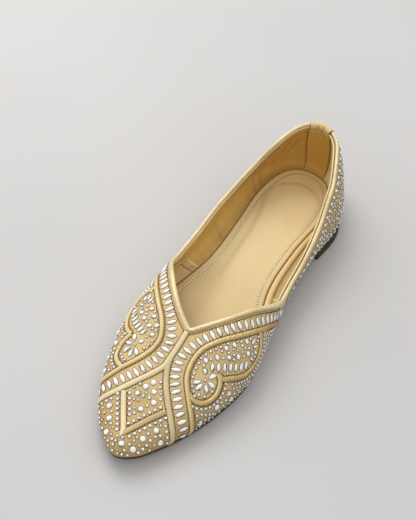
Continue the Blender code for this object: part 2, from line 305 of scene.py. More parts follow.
def skin(side, shares, turns):
    """Points of the upper's outer face; shares run along the feather edge, turns in degrees."""
    shares, turns = np.broadcast_arrays(np.asarray(shares, float), np.asarray(turns, float))
    edge = along(FEATHER[side], shares)
    x, station = edge[..., 0], edge[..., 1]
    fan = mean_station(shares)
    top_station = ridge_of(shares)
    foot = edge_height(station)
    top = through(RIDGE, 1, top_station)
    power = 2 / through(FULLNESS, 1, fan)
    angle = np.radians(np.clip(turns, 0, 90))
    inwards = 1 - clamped(np.cos(angle)) ** power
    upwards = clamped(np.sin(angle)) ** power
    swell = through(FULLNESS, 2, fan) * np.sin(np.pi * upwards**SWELL_CROWN)
    to_edge = np.stack([x, station - top_station], axis=-1)
    to_edge /= np.linalg.norm(to_edge, axis=-1, keepdims=True)
    out_x = x * (1 - inwards) + swell * to_edge[..., 0]
    out_station = station + (top_station - station) * inwards + swell * to_edge[..., 1]
    height = foot + (top - foot) * upwards
    if side < 0:
        lean = sum(most * bell(fan - at, reach) for at, reach, most in LEAN)
        out_x = out_x + lean * MM * clamped(upwards / LEAN_RISE) ** 1.3
    return np.stack([out_x, out_station, height], axis=-1)


def skin_normal(side, shares, turns):
    """Outward unit normals of the skin."""
    step = 1e-3
    shares = np.asarray(shares, float)
    turns = np.asarray(turns, float)
    low, high = clamped(shares - step), clamped(shares + step)
    forward = skin(side, high, turns) - skin(side, low, turns)
    upward = skin(side, shares, turns + 0.5) - skin(side, shares, turns - 0.5)
    normal = np.cross(forward, upward) * side
    return normal / np.linalg.norm(normal, axis=-1, keepdims=True)


def on_skin(side, shares, turns):
    """Points of the skin, and their normals."""
    return skin(side, shares, turns), skin_normal(side, shares, turns)


def throat_edge_station():
    """The station of the feather edge whose section meets the ridge at the throat."""
    return (THROAT_STATION - RIDGE_FIRST) * LENGTH / (RIDGE_LAST - RIDGE_FIRST)


def topline_turn(side, station):
    """The section turn at which the upper ends, from the heel's back round to the throat."""
    column = COLUMN[side]
    corner = THROAT_CORNER[side]
    tip = throat_edge_station()
    quarter = through(TOPLINE, column, station)
    share = clamped((station - corner) / (tip - corner))
    rounded = np.sqrt(1 + THROAT_ROUND**2) - THROAT_ROUND
    fall = np.sqrt(((1 - share) * rounded + THROAT_ROUND) ** 2 - THROAT_ROUND**2)
    power = 2 / through(FULLNESS, 1, station)
    start = np.cos(np.radians(through(TOPLINE, column, corner)))
    start **= 2 / through(FULLNESS, 1, corner)
    width = clamped(start * fall + 4 * THROAT_BOW * share * (1 - share))
    vee = np.degrees(np.arccos(width ** (1 / power)))
    return np.where(station <= corner, quarter, np.where(share < 1, vee, 90.0))


STEADY_TURNS = (0.6, 89.4)  # turns between which the normals are steady

# Lengths up every section, for the ridge and girth lay-out
GRID_SHARES = np.linspace(0, 1, 601)
GRID_TURNS = np.linspace(0, 90, 181)


def section_lengths(side):
    """Running lengths up the sections of a grid of shares and turns."""
    points = skin(side, GRID_SHARES[:, None], GRID_TURNS[None, :])
    steps = np.linalg.norm(np.diff(points, axis=1), axis=2)
    return np.concatenate([np.zeros((len(points), 1)), np.cumsum(steps, axis=1)], axis=1)


UP = {side: section_lengths(side) for side in SIDES}


def rows_at(side, shares):
    """The running lengths up the sections at these shares."""
    place = clamped(np.atleast_1d(shares)) * (len(GRID_SHARES) - 1)
    low = np.minimum(place.astype(int), len(GRID_SHARES) - 2)
    part = (place - low)[:, None]
    return UP[side][low] * (1 - part) + UP[side][low + 1] * part


def turn_at_up(side, shares, up):
    """Turns at which sections have this length up from the feather edge, in metres."""
    rows = rows_at(side, shares)
    up = np.clip(np.broadcast_to(up, len(rows)), 0, rows[:, -1])
    k = np.clip((rows < up[:, None]).sum(axis=1) - 1, 0, len(GRID_TURNS) - 2)
    pick = np.arange(len(rows))
    span = np.maximum(rows[pick, k + 1] - rows[pick, k], 1e-9)
    return GRID_TURNS[k] + (up - rows[pick, k]) / span * (GRID_TURNS[1] - GRID_TURNS[0])


def up_at_turn(side, shares, turns):
    """Lengths up from the feather edge at which sections have these turns."""
    rows = rows_at(side, shares)
    turns = np.broadcast_to(turns, len(rows))
    return np.array([np.interp(turn, GRID_TURNS, row) for turn, row in zip(turns, rows)])


CORNER_SOFT = 4.6 * MM
CORNER_REACH = 14.0 * MM


def edge_lengths(side):
    """Length up every section to the topline, with the corners of the throat eased."""
    shares = np.linspace(0, float(share_at_station(throat_edge_station())), 700)
    stations = mean_station(shares)
    ups = up_at_turn(side, shares, topline_turn(side, stations))
    weights = np.exp(-(((stations[:, None] - stations[None]) / CORNER_SOFT) ** 2) / 2)
    eased = weights @ ups / weights.sum(1)
    near = np.exp(-(((stations - THROAT_CORNER[side] - 0.001) / CORNER_REACH) ** 4))
    return shares, ups * (1 - near) + eased * near


EDGE = {side: edge_lengths(side) for side in SIDES}
THROAT_SHARE = float(share_at_station(throat_edge_station()))


def behind_throat(count):
    """Shares from the heel's back to the throat, closer together at both ends."""
    even = np.linspace(0, 1, count)
    return THROAT_SHARE * (0.4 * even + 0.3 * (1 - np.cos(np.pi * even)))


def edge_up(side, shares):
    """Length from the feather edge to the topline, or to the ridge ahead of the throat."""
    shares = np.atleast_1d(shares)
    up = np.interp(shares, *EDGE[side])
    return np.where(shares < THROAT_SHARE, up, rows_at(side, shares)[:, -1])


def locate(side, ridge, girth):
    """Share and turn for ridge stations and girths in millimetres."""
    fan = (np.asarray(ridge) * MM - RIDGE_FIRST) / (RIDGE_LAST - RIDGE_FIRST) * LENGTH
    share = share_at_station(np.clip(fan, 0, LENGTH))
    rows = rows_at(side, share)
    return share, turn_at_up(side, share, rows[:, -1] - np.asarray(girth) * MM)


def on_upper(side, layout):
    """Points and normals on the upper's face for (ridge, girth) rows in millimetres."""
    layout = np.asarray(layout, float)
    share, turn = locate(side, layout[:, 0], layout[:, 1])
    return on_skin(side, share, np.clip(turn, *STEADY_TURNS))


def to_world(points):
    """World places of shoe points: the toe points to -Y."""
    points = np.asarray(points, float)
    across = points[..., 0] - ORIGIN_X
    back = ORIGIN_STATION - points[..., 1]
    return np.stack([across, back, points[..., 2]], axis=-1)


# ---------------------------------------------------------------- mesh helpers


def add_mesh(name, points, faces, material, smooth=True, merge=0.0, tone=None):
    """A piece that rides on the shoe, from shoe points and faces; tone is how dark each point is."""
    mesh = bpy.data.meshes.new(name)
    mesh.from_pydata(to_world(points).tolist(), [], [tuple(int(i) for i in face) for face in faces])
    if tone is not None:
        mesh.attributes.new("tone", "FLOAT", "POINT").data.foreach_set("value", np.ravel(tone).astype("f4"))
    work = bmesh.new()
    work.from_mesh(mesh)
    if merge:
        bmesh.ops.remove_doubles(work, verts=work.verts, dist=merge)
        bmesh.ops.dissolve_degenerate(work, edges=work.edges, dist=1e-7)
    bmesh.ops.recalc_face_normals(work, faces=work.faces)
    work.to_mesh(mesh)
    work.free()
    mesh.materials.append(material)
    if smooth:
        mesh.shade_smooth()
    piece = bpy.data.objects.new(name, mesh)
    bpy.context.scene.collection.objects.link(piece)
    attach(piece, "root")
    return piece


def thicken(piece, thickness):
    """Gives a sheet of leather its thickness, inwards."""
    shell = piece.modifiers.new("leather", "SOLIDIFY")
    shell.thickness = thickness
    shell.offset = -1.0


def grid_faces(columns, rows, offset=0, closed=False):
    """Quads of a grid of columns, each of rows points."""
    i = np.arange(columns if closed else columns - 1)[:, None]
    j = np.arange(rows - 1)[None, :]
    a = i * rows + j
    b = ((i + 1) % columns) * rows + j
    quads = np.stack([a, b, b + 1, a + 1], axis=-1).reshape(-1, 4)
    return quads + offset


def resample(points, others, pitch, closed=False):
    """Evenly spaced points along a polyline, with its other columns carried along."""
    if closed:
        points = np.vstack([points, points[:1]])
        others = np.vstack([others, others[:1]])
    reach = reach_of(points)
    count = max(int(round(reach[-1] / pitch)), 1)
    at = np.linspace(0, reach[-1], count + 1)
    if closed:
        at = at[:-1]
    placed = np.stack([np.interp(at, reach, c) for c in points.T], axis=-1)
    carried = np.stack([np.interp(at, reach, c) for c in others.T], axis=-1)
    return placed, carried, at


def unit(vectors):
    return vectors / np.maximum(np.linalg.norm(vectors, axis=-1, keepdims=True), 1e-12)


def frames_along(points, normals, closed=False):
    """Tangent, side and normal directions along a line on a surface."""
    if closed:
        tangent = np.roll(points, -1, 0) - np.roll(points, 1, 0)
    else:
        tangent = np.gradient(points, axis=0)
    tangent = unit(tangent)
    normals = unit(normals - (normals * tangent).sum(1, keepdims=True) * tangent)
    return tangent, np.cross(normals, tangent), normals


def hash_noise(values, seed):
    """Smooth repeatable noise of a 1D length, about -1 to 1, one bump per unit."""
    low = np.floor(values)
    part = smooth_step(values - low)

    def at(k):
        s = np.sin(k * 127.1 + seed * 311.7) * 43758.5453
        return 2 * (s - np.floor(s)) - 1

    return at(low) * (1 - part) + at(low + 1) * part


def value_noise(points, size, seed):
    """Smooth repeatable noise of 3D points, about -1 to 1, one bump per size."""
    q = np.asarray(points) / size
    low = np.floor(q)
    part = smooth_step(q - low)
    total = np.zeros(len(q))
    for corner in range(8):
        pick = np.array([corner & 1, corner >> 1 & 1, corner >> 2 & 1])
        k = low + pick
        s = np.sin(k @ np.array([127.1, 311.7, 74.7]) + seed * 53.3) * 43758.5453
        weight = np.prod(np.where(pick, part, 1 - part), axis=1)
        total += weight * (2 * (s - np.floor(s)) - 1)
    return total


class Joined:
    """Many small copies of templates gathered into one mesh."""

    def __init__(self):
        self.points, self.faces, self.count = [], [], 0

    def add(self, template, origin, axes, scale):
        """axes are rows: along, across and up; scale stretches the template along them."""
        points, faces = template
        placed = origin + (points * scale) @ axes
        self.points.append(placed)
        self.faces.extend([tuple(i + self.count for i in face) for face in faces])
        self.count += len(points)

    def build(self, name, material, slot, smooth=False):
        return add_mesh(name, np.vstack(self.points), self.faces, material, smooth)


# ---------------------------------------------------------------- materials


def feed(tree, made, inputs):
    """Give a node's inputs sockets or plain values."""
    for key, value in inputs.items():
        if isinstance(value, bpy.types.NodeSocket):
            tree.links.new(value, made.inputs[key])
        else:
            made.inputs[key].default_value = value


def node(tree, kind, inputs=None, **settings):
    made = tree.nodes.new(kind)
    for key, value in settings.items():
        setattr(made, key, value)
    feed(tree, made, inputs or {})
    return made


def noise(tree, vector, scale, detail=3.0, roughness=0.55, distortion=0.0):
    inputs = {"Vector": vector, "Scale": scale, "Detail": detail, "Roughness": roughness,
              "Distortion": distortion}
    return node(tree, "ShaderNodeTexNoise", inputs).outputs["Fac"]


def cells(tree, vector, scale):
    return node(tree, "ShaderNodeTexVoronoi", {"Vector": vector, "Scale": scale}).outputs["Distance"]


def ramp(tree, value, stops):
    made = node(tree, "ShaderNodeValToRGB", {"Fac": value})
    elements = made.color_ramp.elements
    while len(elements) < len(stops):
        elements.new(0.5)
    for element, (place, colour) in zip(elements, stops):
        element.position = place
        element.color = (*colour, 1.0)
    return made.outputs["Color"]


def levels(tree, value, low, high, out_low=0.0, out_high=1.0):
    inputs = {"Value": value, "From Min": low, "From Max": high, "To Min": out_low, "To Max": out_high}
    return node(tree, "ShaderNodeMapRange", inputs).outputs["Result"]


def maths(tree, operation, a, b):
    return node(tree, "ShaderNodeMath", {0: a, 1: b}, operation=operation).outputs[0]


def mix(tree, share, a, b):
    a, b = (end if isinstance(end, bpy.types.NodeSocket) else (*end, 1.0) for end in (a, b))
    return node(tree, "ShaderNodeMix", {"Factor": share, 6: a, 7: b}, data_type="RGBA").outputs[2]


def bump(tree, height, distance):
    inputs = {"Height": height, "Distance": distance, "Strength": 1.0}
    return node(tree, "ShaderNodeBump", inputs).outputs["Normal"]


def start_material(name):
    material = bpy.data.materials.new(name)
    material.use_nodes = True
    tree = material.node_tree
    shader = tree.nodes["Principled BSDF"]
    where = node(tree, "ShaderNodeTexCoord").outputs["Object"]
    return material, tree, shader, where


def scaled(colour, factor):
    return tuple(min(channel * factor, 1.0) for channel in colour)


def leather(name, colour, grain, roughness, metallic, contrast=0.14, coat=0.0, depth=0.00005,
            grain_mix=0.5, painted_by_height=None, hollow_shade=0.6, toned=None, painted_light=None, shine=0.5):
    """Finished leather: cloudy colour, pores and pebble grain, a broken sheen, painted shade in folds and
    seams, and painted light or shade by height and by the tone attribute where asked.
    """
    material, tree, shader, where = start_material(name)
    cloud = noise(tree, where, 55.0, 3.0, 0.6)
    mottle = noise(tree, where, 420.0, 4.0, 0.65, 0.4)
    pebble = cells(tree, where, grain)
    pores = noise(tree, where, grain * 2.2, 2.0, 0.5)
    speck = noise(tree, where, 1500.0, 2.0, 0.7)
    blend = maths(tree, "ADD", maths(tree, "MULTIPLY", cloud, 0.35), maths(tree, "MULTIPLY", mottle, 0.25))
    blend = maths(tree, "ADD", blend, maths(tree, "MULTIPLY", speck, 0.40))
    tone = ramp(tree, blend, [(0.38, scaled(colour, 1 - contrast)), (0.50, colour),
                              (0.62, scaled(colour, 1 + contrast))])
    crease = levels(tree, pebble, 0.0, 0.75)
    dark = mix(tree, levels(tree, crease, 0.0, 0.55, 0.0, grain_mix * 0.35), tone, scaled(colour, 0.62))
    # Painted light and shade by height: another colour below a given height
    if painted_by_height:
        low, high, share, other = painted_by_height
        split = node(tree, "ShaderNodeSeparateXYZ", {0: where})
        dark = mix(tree, levels(tree, split.outputs["Z"], low, high, share, 0.0), dark, other)
    # Mixed towards the darker colour as far as the tone attribute says: painted shade, and on the -X lining
    # its dashed seam
    if toned:
        painted = node(tree, "ShaderNodeAttribute", attribute_name="tone").outputs["Fac"]
        dark = mix(tree, painted, dark, toned)
    # Painted highlight: mixed towards the paler colour where the tone attribute is below zero
    if painted_light:
        dark = mix(tree, maths(tree, "MULTIPLY", painted, -1.0), dark, painted_light)
    # Painted shade: darker in hollows and narrow gaps, from an occlusion node
    open_air = node(tree, "ShaderNodeAmbientOcclusion", {"Distance": 0.0022}, samples=8)
    shade = levels(tree, open_air.outputs["AO"], 0.25, 0.90, hollow_shade, 0.0)
    dark = mix(tree, shade, dark, (colour[0] * 0.36, colour[1] * 0.25, colour[2] * 0.12))
    rough = levels(tree, mottle, 0.3, 0.7, roughness - 0.035, roughness + 0.045)
    raised, sunk = maths(tree, "MULTIPLY", pores, 0.45), maths(tree, "MULTIPLY", pebble, 0.9)
    height = maths(tree, "SUBTRACT", raised, sunk)
    feed(tree, shader, {
        "Base Color": dark, "Roughness": rough, "Metallic": metallic, "Specular IOR Level": shine,
        "Coat Weight": coat, "Coat Roughness": 0.3, "Normal": bump(tree, height, depth),
    })
    return material


def thread(name, colour, roughness=0.6):
    """Twisted thread with a slight shine."""
    material, tree, shader, where = start_material(name)
    strands = noise(tree, where, 900.0, 2.0)
    tone = ramp(tree, strands, [(0.3, scaled(colour, 0.7)), (0.7, scaled(colour, 1.2))])
    twist = bump(tree, noise(tree, where, 4000.0, 1.0), 0.00004)
    feed(tree, shader, {"Base Color": tone, "Roughness": roughness, "Normal": twist})
    return material


def crystal(name, colour):
    """Foil backed stones with painted reflections: facets facing the light painted brighter, each facet
    painted a brightness of its own, and darker patches of noise.
    """
    material, tree, shader, where = start_material(name)
    # Painted light: facets facing this fixed direction of the light are painted brighter
    facing = node(tree, "ShaderNodeVectorMath", operation="DOT_PRODUCT")
    flat_normal = node(tree, "ShaderNodeNewGeometry").outputs["True Normal"]
    feed(tree, facing, {0: flat_normal, 1: (-0.50, 0.22, 0.84)})
    cloud = noise(tree, where, 600.0, 2.0, 0.6)
    facet = node(tree, "ShaderNodeAttribute", attribute_name="tone").outputs["Fac"]
    lit = maths(tree, "ADD", maths(tree, "MULTIPLY", facing.outputs["Value"], 0.16),
                maths(tree, "MULTIPLY", facet, 0.66))
    lit = maths(tree, "ADD", lit, levels(tree, cloud, 0.3, 0.7, 0.14, 0.40))
    # Painted reflections: from dark grey-green to white by how lit each facet is painted
    body = ramp(tree, lit, [
        (0.20, (0.10, 0.12, 0.11)), (0.34, (0.34, 0.40, 0.37)), (0.46, (0.72, 0.79, 0.76)),
        (0.56, scaled(colour, 0.97)), (0.85, colour),
    ])
    rough = levels(tree, cloud, 0.3, 0.7, 0.10, 0.20)
    feed(tree, shader, {
        "Base Color": body, "Metallic": 0.0, "IOR": 1.7, "Roughness": rough, "Coat Weight": 0.4,
        "Coat Roughness": 0.06,
    })
    return material


# Painted shade: darker towards the sole, and by the tone attribute over the quarters and towards the toe
GOLD = leather("upper_leather", (0.76, 0.54, 0.235), 1500.0, 0.50, 0.10, contrast=0.16, coat=0.05,
               depth=0.00008, toned=(0.46, 0.31, 0.08), painted_by_height=(0.003, 0.021, 0.95, (0.32, 0.18, 0.045)))
# Painted shade and painted highlight: the ribs' darker colour on the flank facing away from the light, their
# paler colour on the lit flank
RIB = leather("rib_leather", (0.70, 0.50, 0.19), 2000.0, 0.42, 0.30, contrast=0.22, coat=0.1,
              depth=0.00014, toned=(0.36, 0.22, 0.05), painted_light=(0.94, 0.80, 0.48))
PALE = leather("pale_rib_leather", (0.80, 0.66, 0.38), 1800.0, 0.42, 0.20, contrast=0.18, coat=0.1,
               depth=0.00012, toned=(0.50, 0.36, 0.14), painted_light=(0.94, 0.84, 0.58), hollow_shade=0.75)
# Painted shade: the binding's darker colour on its lower side over the V
PIPING = leather("pale_binding_leather", (0.86, 0.69, 0.385), 1800.0, 0.30, 0.15, contrast=0.26, coat=0.3,
                 depth=0.00014, toned=(0.38, 0.24, 0.055))
# Painted shade: the sock's darker colour, laid on by the tone attribute
SOCKING = leather("sock_leather", (0.96, 0.75, 0.40), 1300.0, 0.50, 0.0, contrast=0.08, depth=0.00004,
                  grain_mix=0.25, toned=(0.50, 0.35, 0.145))
# Shaded and lit copies of one lining leather: deep orange for the shaded -X lining, a less saturated tan for
# the lit +X lining; both with painted shade by the tone attribute, and the +X copy with a painted pool of
# light near the heel
LINING = leather("lining_leather", (0.78, 0.50, 0.125), 1600.0, 0.55, 0.0, contrast=0.16, depth=0.00006,
                 toned=(0.30, 0.16, 0.03))
LINING_LIT_COPY = leather("lining_lit_copy", (0.64, 0.46, 0.19), 1600.0, 0.55, 0.0, contrast=0.14, depth=0.00006,
                       toned=(0.30, 0.17, 0.04), painted_light=(0.98, 0.86, 0.54))
# Painted shade and painted highlight: the flap's darker colour in its seam and pleats, its paler colour along
# its edge
FLAP = leather("flap_leather", (0.72, 0.50, 0.20), 1600.0, 0.52, 0.0, contrast=0.14, depth=0.00006,
               toned=(0.28, 0.15, 0.03), painted_light=(0.98, 0.84, 0.52))
SOLE = leather("sole_leather", (0.068, 0.040, 0.015), 900.0, 0.50, 0.0, contrast=0.3, coat=0.05, shine=0.25)
BEAD = leather("bead_leather", (0.84, 0.65, 0.33), 2000.0, 0.38, 0.05, contrast=0.12, coat=0.2)
# Painted light by height: the tab cream above 55 mm where light falls on its top, a deeper orange below 46 mm
TAB = leather("tab_leather", (0.75, 0.56, 0.26), 1500.0, 0.50, 0.05, contrast=0.12, depth=0.00004,
              painted_by_height=(0.046, 0.055, 1.0, (0.76, 0.48, 0.11)))
# Dark thread: partly the thread, partly painted shade of its needle holes; the needle holes are spots of
# painted shade
DARK_THREAD = thread("dark_thread", (0.075, 0.042, 0.014))
PALE_THREAD = thread("pale_thread", (1.0, 0.87, 0.60))
HOLES = thread("needle_holes", (0.27, 0.15, 0.05), 0.9)
STONE = crystal("crystal", (1.0, 1.0, 0.985))
# Painted shadow: the dark cups stand for each stone's setting and the shadow round it
CUP_SHADOW = leather("stone_setting_shadow", (0.075, 0.05, 0.02), 3000.0, 0.45, 0.5)


# ---------------------------------------------------------------- upper leather

BELOW_BINDING = 0.6 * MM  # from the topline down to the leather's edge
SIDE_SEAM = {1: 134.5, -1: 138.0}  # ridge station of the seam between quarter and vamp


def build_upper():
    """Vamp and quarters: outer leather from the feather edge up to the topline."""
    rows = 44
    shares = np.concatenate([behind_throat(215), np.linspace(THROAT_SHARE, 1, 86)[1:]])
    points, faces, tones = [], [], []
    ridges = ridge_of(shares) / MM
    for side in SIDES:
        # Painted shade: the quarters behind the side seam and the toe painted darker
        behind_seam = clamped((SIDE_SEAM[side] + 4.0 - ridges) / 6.0)
        at_toe = clamped((ridges - 214.0) / 22.0)
        tones.append(np.repeat(0.75 * behind_seam + 0.35 * at_toe, rows))
        top_up = edge_up(side, shares)
        top_up = np.where(shares < THROAT_SHARE, top_up - BELOW_BINDING, top_up)
        for share, up in zip(shares, top_up):
            spread = np.full(rows, share)
            points.append(skin(side, spread, turn_at_up(side, spread, np.linspace(0, up, rows))))
        faces.append(grid_faces(len(shares), rows, (0 if side > 0 else len(shares) * rows)))
    upper = add_mesh("upper_leather", np.vstack(points), np.vstack(faces), GOLD, merge=2e-5,
                     tone=np.concatenate(tones))
    thicken(upper, 0.9 * MM)
    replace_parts(upper, "upper")


# ---------------------------------------------------------------- ribs

# Corded ribs on each side: rows of (ridge, girth) in millimetres. The stem runs on into the branch to -X
STEM_END = 197.0  # ridge station where the +X branch leaves the stem
# The stem runs beside the ridge: ridge station, shift to +X
STEM_SHIFT = (
    (181.0, 1.7), (186.0, 1.6), (192.0, 1.35), (198.0, 0.85), (203.0, 0.35), (208.0, 0.0), (230.0, 0.0),
)
BRANCH = {
    1: (
        (193.0, 0.0), (197.0, 0.1), (201.0, 0.9), (204.5, 2.3), (208.5, 4.6), (212.5, 7.5), (218.5, 13.5),
        (223.0, 19.5), (226.5, 26.0), (227.5, 31.0),
    ),
    -1: (
        (181.0, 0.0), (190.0, 0.0), (196.0, 0.0), (200.5, 0.7), (204.5, 2.2), (208.5, 4.7), (213.5, 8.8),
        (220.5, 15.5), (224.0, 20.5), (226.5, 26.0), (227.5, 31.0),
    ),
}
DIAMOND = {
    1: ((220.5, 13.0), (228.0, 8.0), (238.5, 2.5), (243.0, 0.4)),
    -1: ((221.0, 13.0), (229.0, 8.0), (238.5, 2.5), (243.0, 0.4)),
}
SECOND_RIB = {
    1: (
        (143.5, 73.0), (144.0, 65.0), (147.0, 56.5), (155.0, 45.5), (162.5, 37.0), (171.5, 27.0),
        (179.0, 18.5), (186.0, 13.0), (193.5, 11.5), (201.0, 13.0), (207.5, 18.0), (213.5, 25.0),
        (216.5, 30.0), (218.0, 36.0),
    ),
    -1: (
        (153.0, 73.0), (153.5, 61.0), (156.0, 50.0), (161.0, 41.0), (169.0, 31.0), (174.5, 24.5),
        (182.5, 15.5), (190.0, 11.0), (195.5, 11.0), (203.5, 15.0), (211.0, 22.0), (216.0, 28.0),
        (218.0, 36.0),
    ),
}
HEART_TOE = {
    1: (
        (207.5, 18.5), (208.5, 23.0), (207.0, 27.5), (204.0, 30.5), (199.5, 32.0), (194.5, 30.5),
        (192.0, 27.0),
    ),
    -1: (
        (210.5, 21.5), (208.5, 26.0), (205.5, 29.5), (201.0, 30.5), (197.5, 30.0), (195.5, 29.0),
        (194.0, 27.5),
    ),
}
HEART_SIDE = {
    1: (
        (192.0, 27.0), (192.5, 31.0), (190.0, 34.5), (187.0, 38.5), (183.0, 42.5), (178.0, 45.0),
        (173.0, 46.0), (168.5, 45.0), (165.0, 41.5), (162.5, 37.5),
    ),
    -1: (
        (194.0, 27.5), (193.0, 31.0), (190.5, 35.0), (187.0, 38.5), (182.5, 41.0), (177.5, 41.5),
        (173.0, 39.5), (170.0, 36.0), (168.5, 33.5), (167.0, 33.0),
    ),
}
RIB_HALF = 1.45  # half width in millimetres
RIB_HEIGHT = 1.35
PALE_HALF = 1.72
PALE_HEIGHT = 1.0
RIB_PITCH = 0.5 * MM


def rib_line(side, rows):
    """Evenly spaced points and normals along a rib."""
    layout = spline(rows)
    points, normals = on_upper(side, layout)
    line, carried, _ = resample(points, np.hstack([normals, layout]), RIB_PITCH)
    return line, unit(carried[:, :3]), carried[:, 3:]


def sweep(points, normals, half, height, seed, taper, wrinkle, count, full):
    """A half round cord laid on a surface: grid of points, columns along it."""
    _, side, up = frames_along(points, normals)
    at = reach_of(points) / MM
    a = np.linspace(-1, 1, count)
    arch = clamped(1 - np.abs(a) ** full) ** 0.5
    columns = []
    for i in range(len(points)):
        ease = 1.0
        for end, distance in ((taper[0], at[i]), (taper[1], at[-1] - at[i])):
            if distance < end:
                ease = min(ease, math.sqrt(max(1 - (1 - distance / end) ** 2, 0.0)))
        twist = np.sin((at[i] + a * 0.9) * 2 * np.pi / 2.3 + hash_noise(at[i] * 0.35, seed) * 2.2)
        ripple = wrinkle * (twist * 0.5 + hash_noise(at[i] * 0.8 + a * 1.3, seed + 3))
        rise = (height * ease + ripple * ease) * arch - 0.25
        spread = a * half * (0.35 + 0.65 * ease)
        columns.append(points[i] + side[i] * (spread * MM)[:, None] + up[i] * (rise * MM)[:, None])
    return np.array(columns)


SHADED_SIDE = np.array([0.62, -0.74, -0.25])  # the way the painted shade on every rib faces; the flank facing the other way gets a painted highlight


def add_cord(name, grids, material, darker, shading):
    """Several swept cords as one mesh, each with its own painted shade, a darker painted flank and a paler
    painted flank.
    """
    points, faces, tones, offset = [], [], [], 0
    for grid, dark in zip(grids, darker):
        facing = unit(np.cross(np.gradient(grid, axis=0), np.gradient(grid, axis=1))) @ SHADED_SIDE
        tones.append((dark + shading * facing).ravel())
        columns, rows = grid.shape[:2]
        points.append(grid.reshape(-1, 3))
        faces.append(grid_faces(columns, rows, offset))
        offset += columns * rows
    add_mesh(name, np.vstack(points), np.vstack(faces), material, tone=np.concatenate(tones))


def capsule():
    """A short thread: a six sided spindle 1 long, 1 wide and 1 high."""
    rings = [(-0.5, 0.25), (-0.36, 0.85), (0.0, 1.0), (0.36, 0.85), (0.5, 0.25)]
    around = np.arange(6) * np.pi / 3
    points = [(x, 0.5 * r * math.cos(t), 0.5 * r * math.sin(t)) for x, r in rings for t in around]
    faces = []
    for ring in range(len(rings) - 1):
        for i in range(6):
            a, b = ring * 6 + i, ring * 6 + (i + 1) % 6
            faces.append((a, b, b + 6, a + 6))
    faces.append(tuple(range(5, -1, -1)))
    faces.append(tuple(range(24, 30)))
    return np.array(points), faces


CAPSULE = capsule()


def stitch_line(gathered, points, normals, offset, pitch, length, width, lift=0.0, skip=0.0):
    """Dashes of thread beside a line on a surface; offset is to its left, all in metres."""
    tangent, side, up = frames_along(points, normals)
    row = points + side * offset + up * lift
    placed, carried, at = resample(row, np.hstack([tangent, side, up]), pitch)
    for i in range(len(placed)):
        if at[i] < skip or at[-1] - at[i] < skip:
            continue
        axes = np.stack([unit(carried[i, :3]), unit(carried[i, 3:6]), unit(carried[i, 6:])])
        gathered.add(CAPSULE, placed[i], axes, np.array([length, width, width * 0.8]))


def shift_stem(points, layout):
    """The stem moved across, off the ridge."""
    shift = np.interp(layout[:, 0], *np.transpose(STEM_SHIFT)) * MM
    return points + shift[:, None] * [1.0, 0.0, 0.0]


def join_stem(points, normals, layout):
    """The +X branch led out of the stem, with the count of points that lie in the stem."""
    stem, stem_normals, stem_layout = rib_line(-1, BRANCH[-1])
    stem = shift_stem(stem, stem_layout)
    inside = stem_layout[:, 0] < STEM_END
    leaves = layout[:, 0] > STEM_END + 5.0
    gap_points = np.linspace(stem[inside][-1], points[leaves][0], 12)[1:-1]
    gap_normals = np.linspace(stem_normals[inside][-1], normals[leaves][0], 12)[1:-1]
    gap_layout = np.repeat(layout[leaves][:1], 10, axis=0)
    points = np.vstack([stem[inside], gap_points, points[leaves]])
    normals = unit(np.vstack([stem_normals[inside], gap_normals, normals[leaves]]))
    layout = np.vstack([stem_layout[inside], gap_layout, layout[leaves]])
    for _ in range(12):
        points[1:-1] = (points[:-2] + 2 * points[1:-1] + points[2:]) / 4
    return points, normals, layout, int(inside.sum())


# Pitch, length and width of the stitches
RIB_STITCH = (1.45 * MM, 1.1 * MM, 0.6 * MM)
# The binding's dashes are wide so they also stand for the painted shadow under the binding
BINDING_STITCH = (1.45 * MM, 1.15 * MM, 0.78 * MM)
LINING_STITCH = (2.2 * MM, 1.5 * MM, 0.32 * MM)
STRIP_STITCH = (1.9 * MM, 1.2 * MM, 0.50 * MM)
CROSS_STITCH = (2.3 * MM, 1.5 * MM, 0.55 * MM)
STITCH_FROM_RIB = 0.35  # from the rib's edge to the stitches, in millimetres


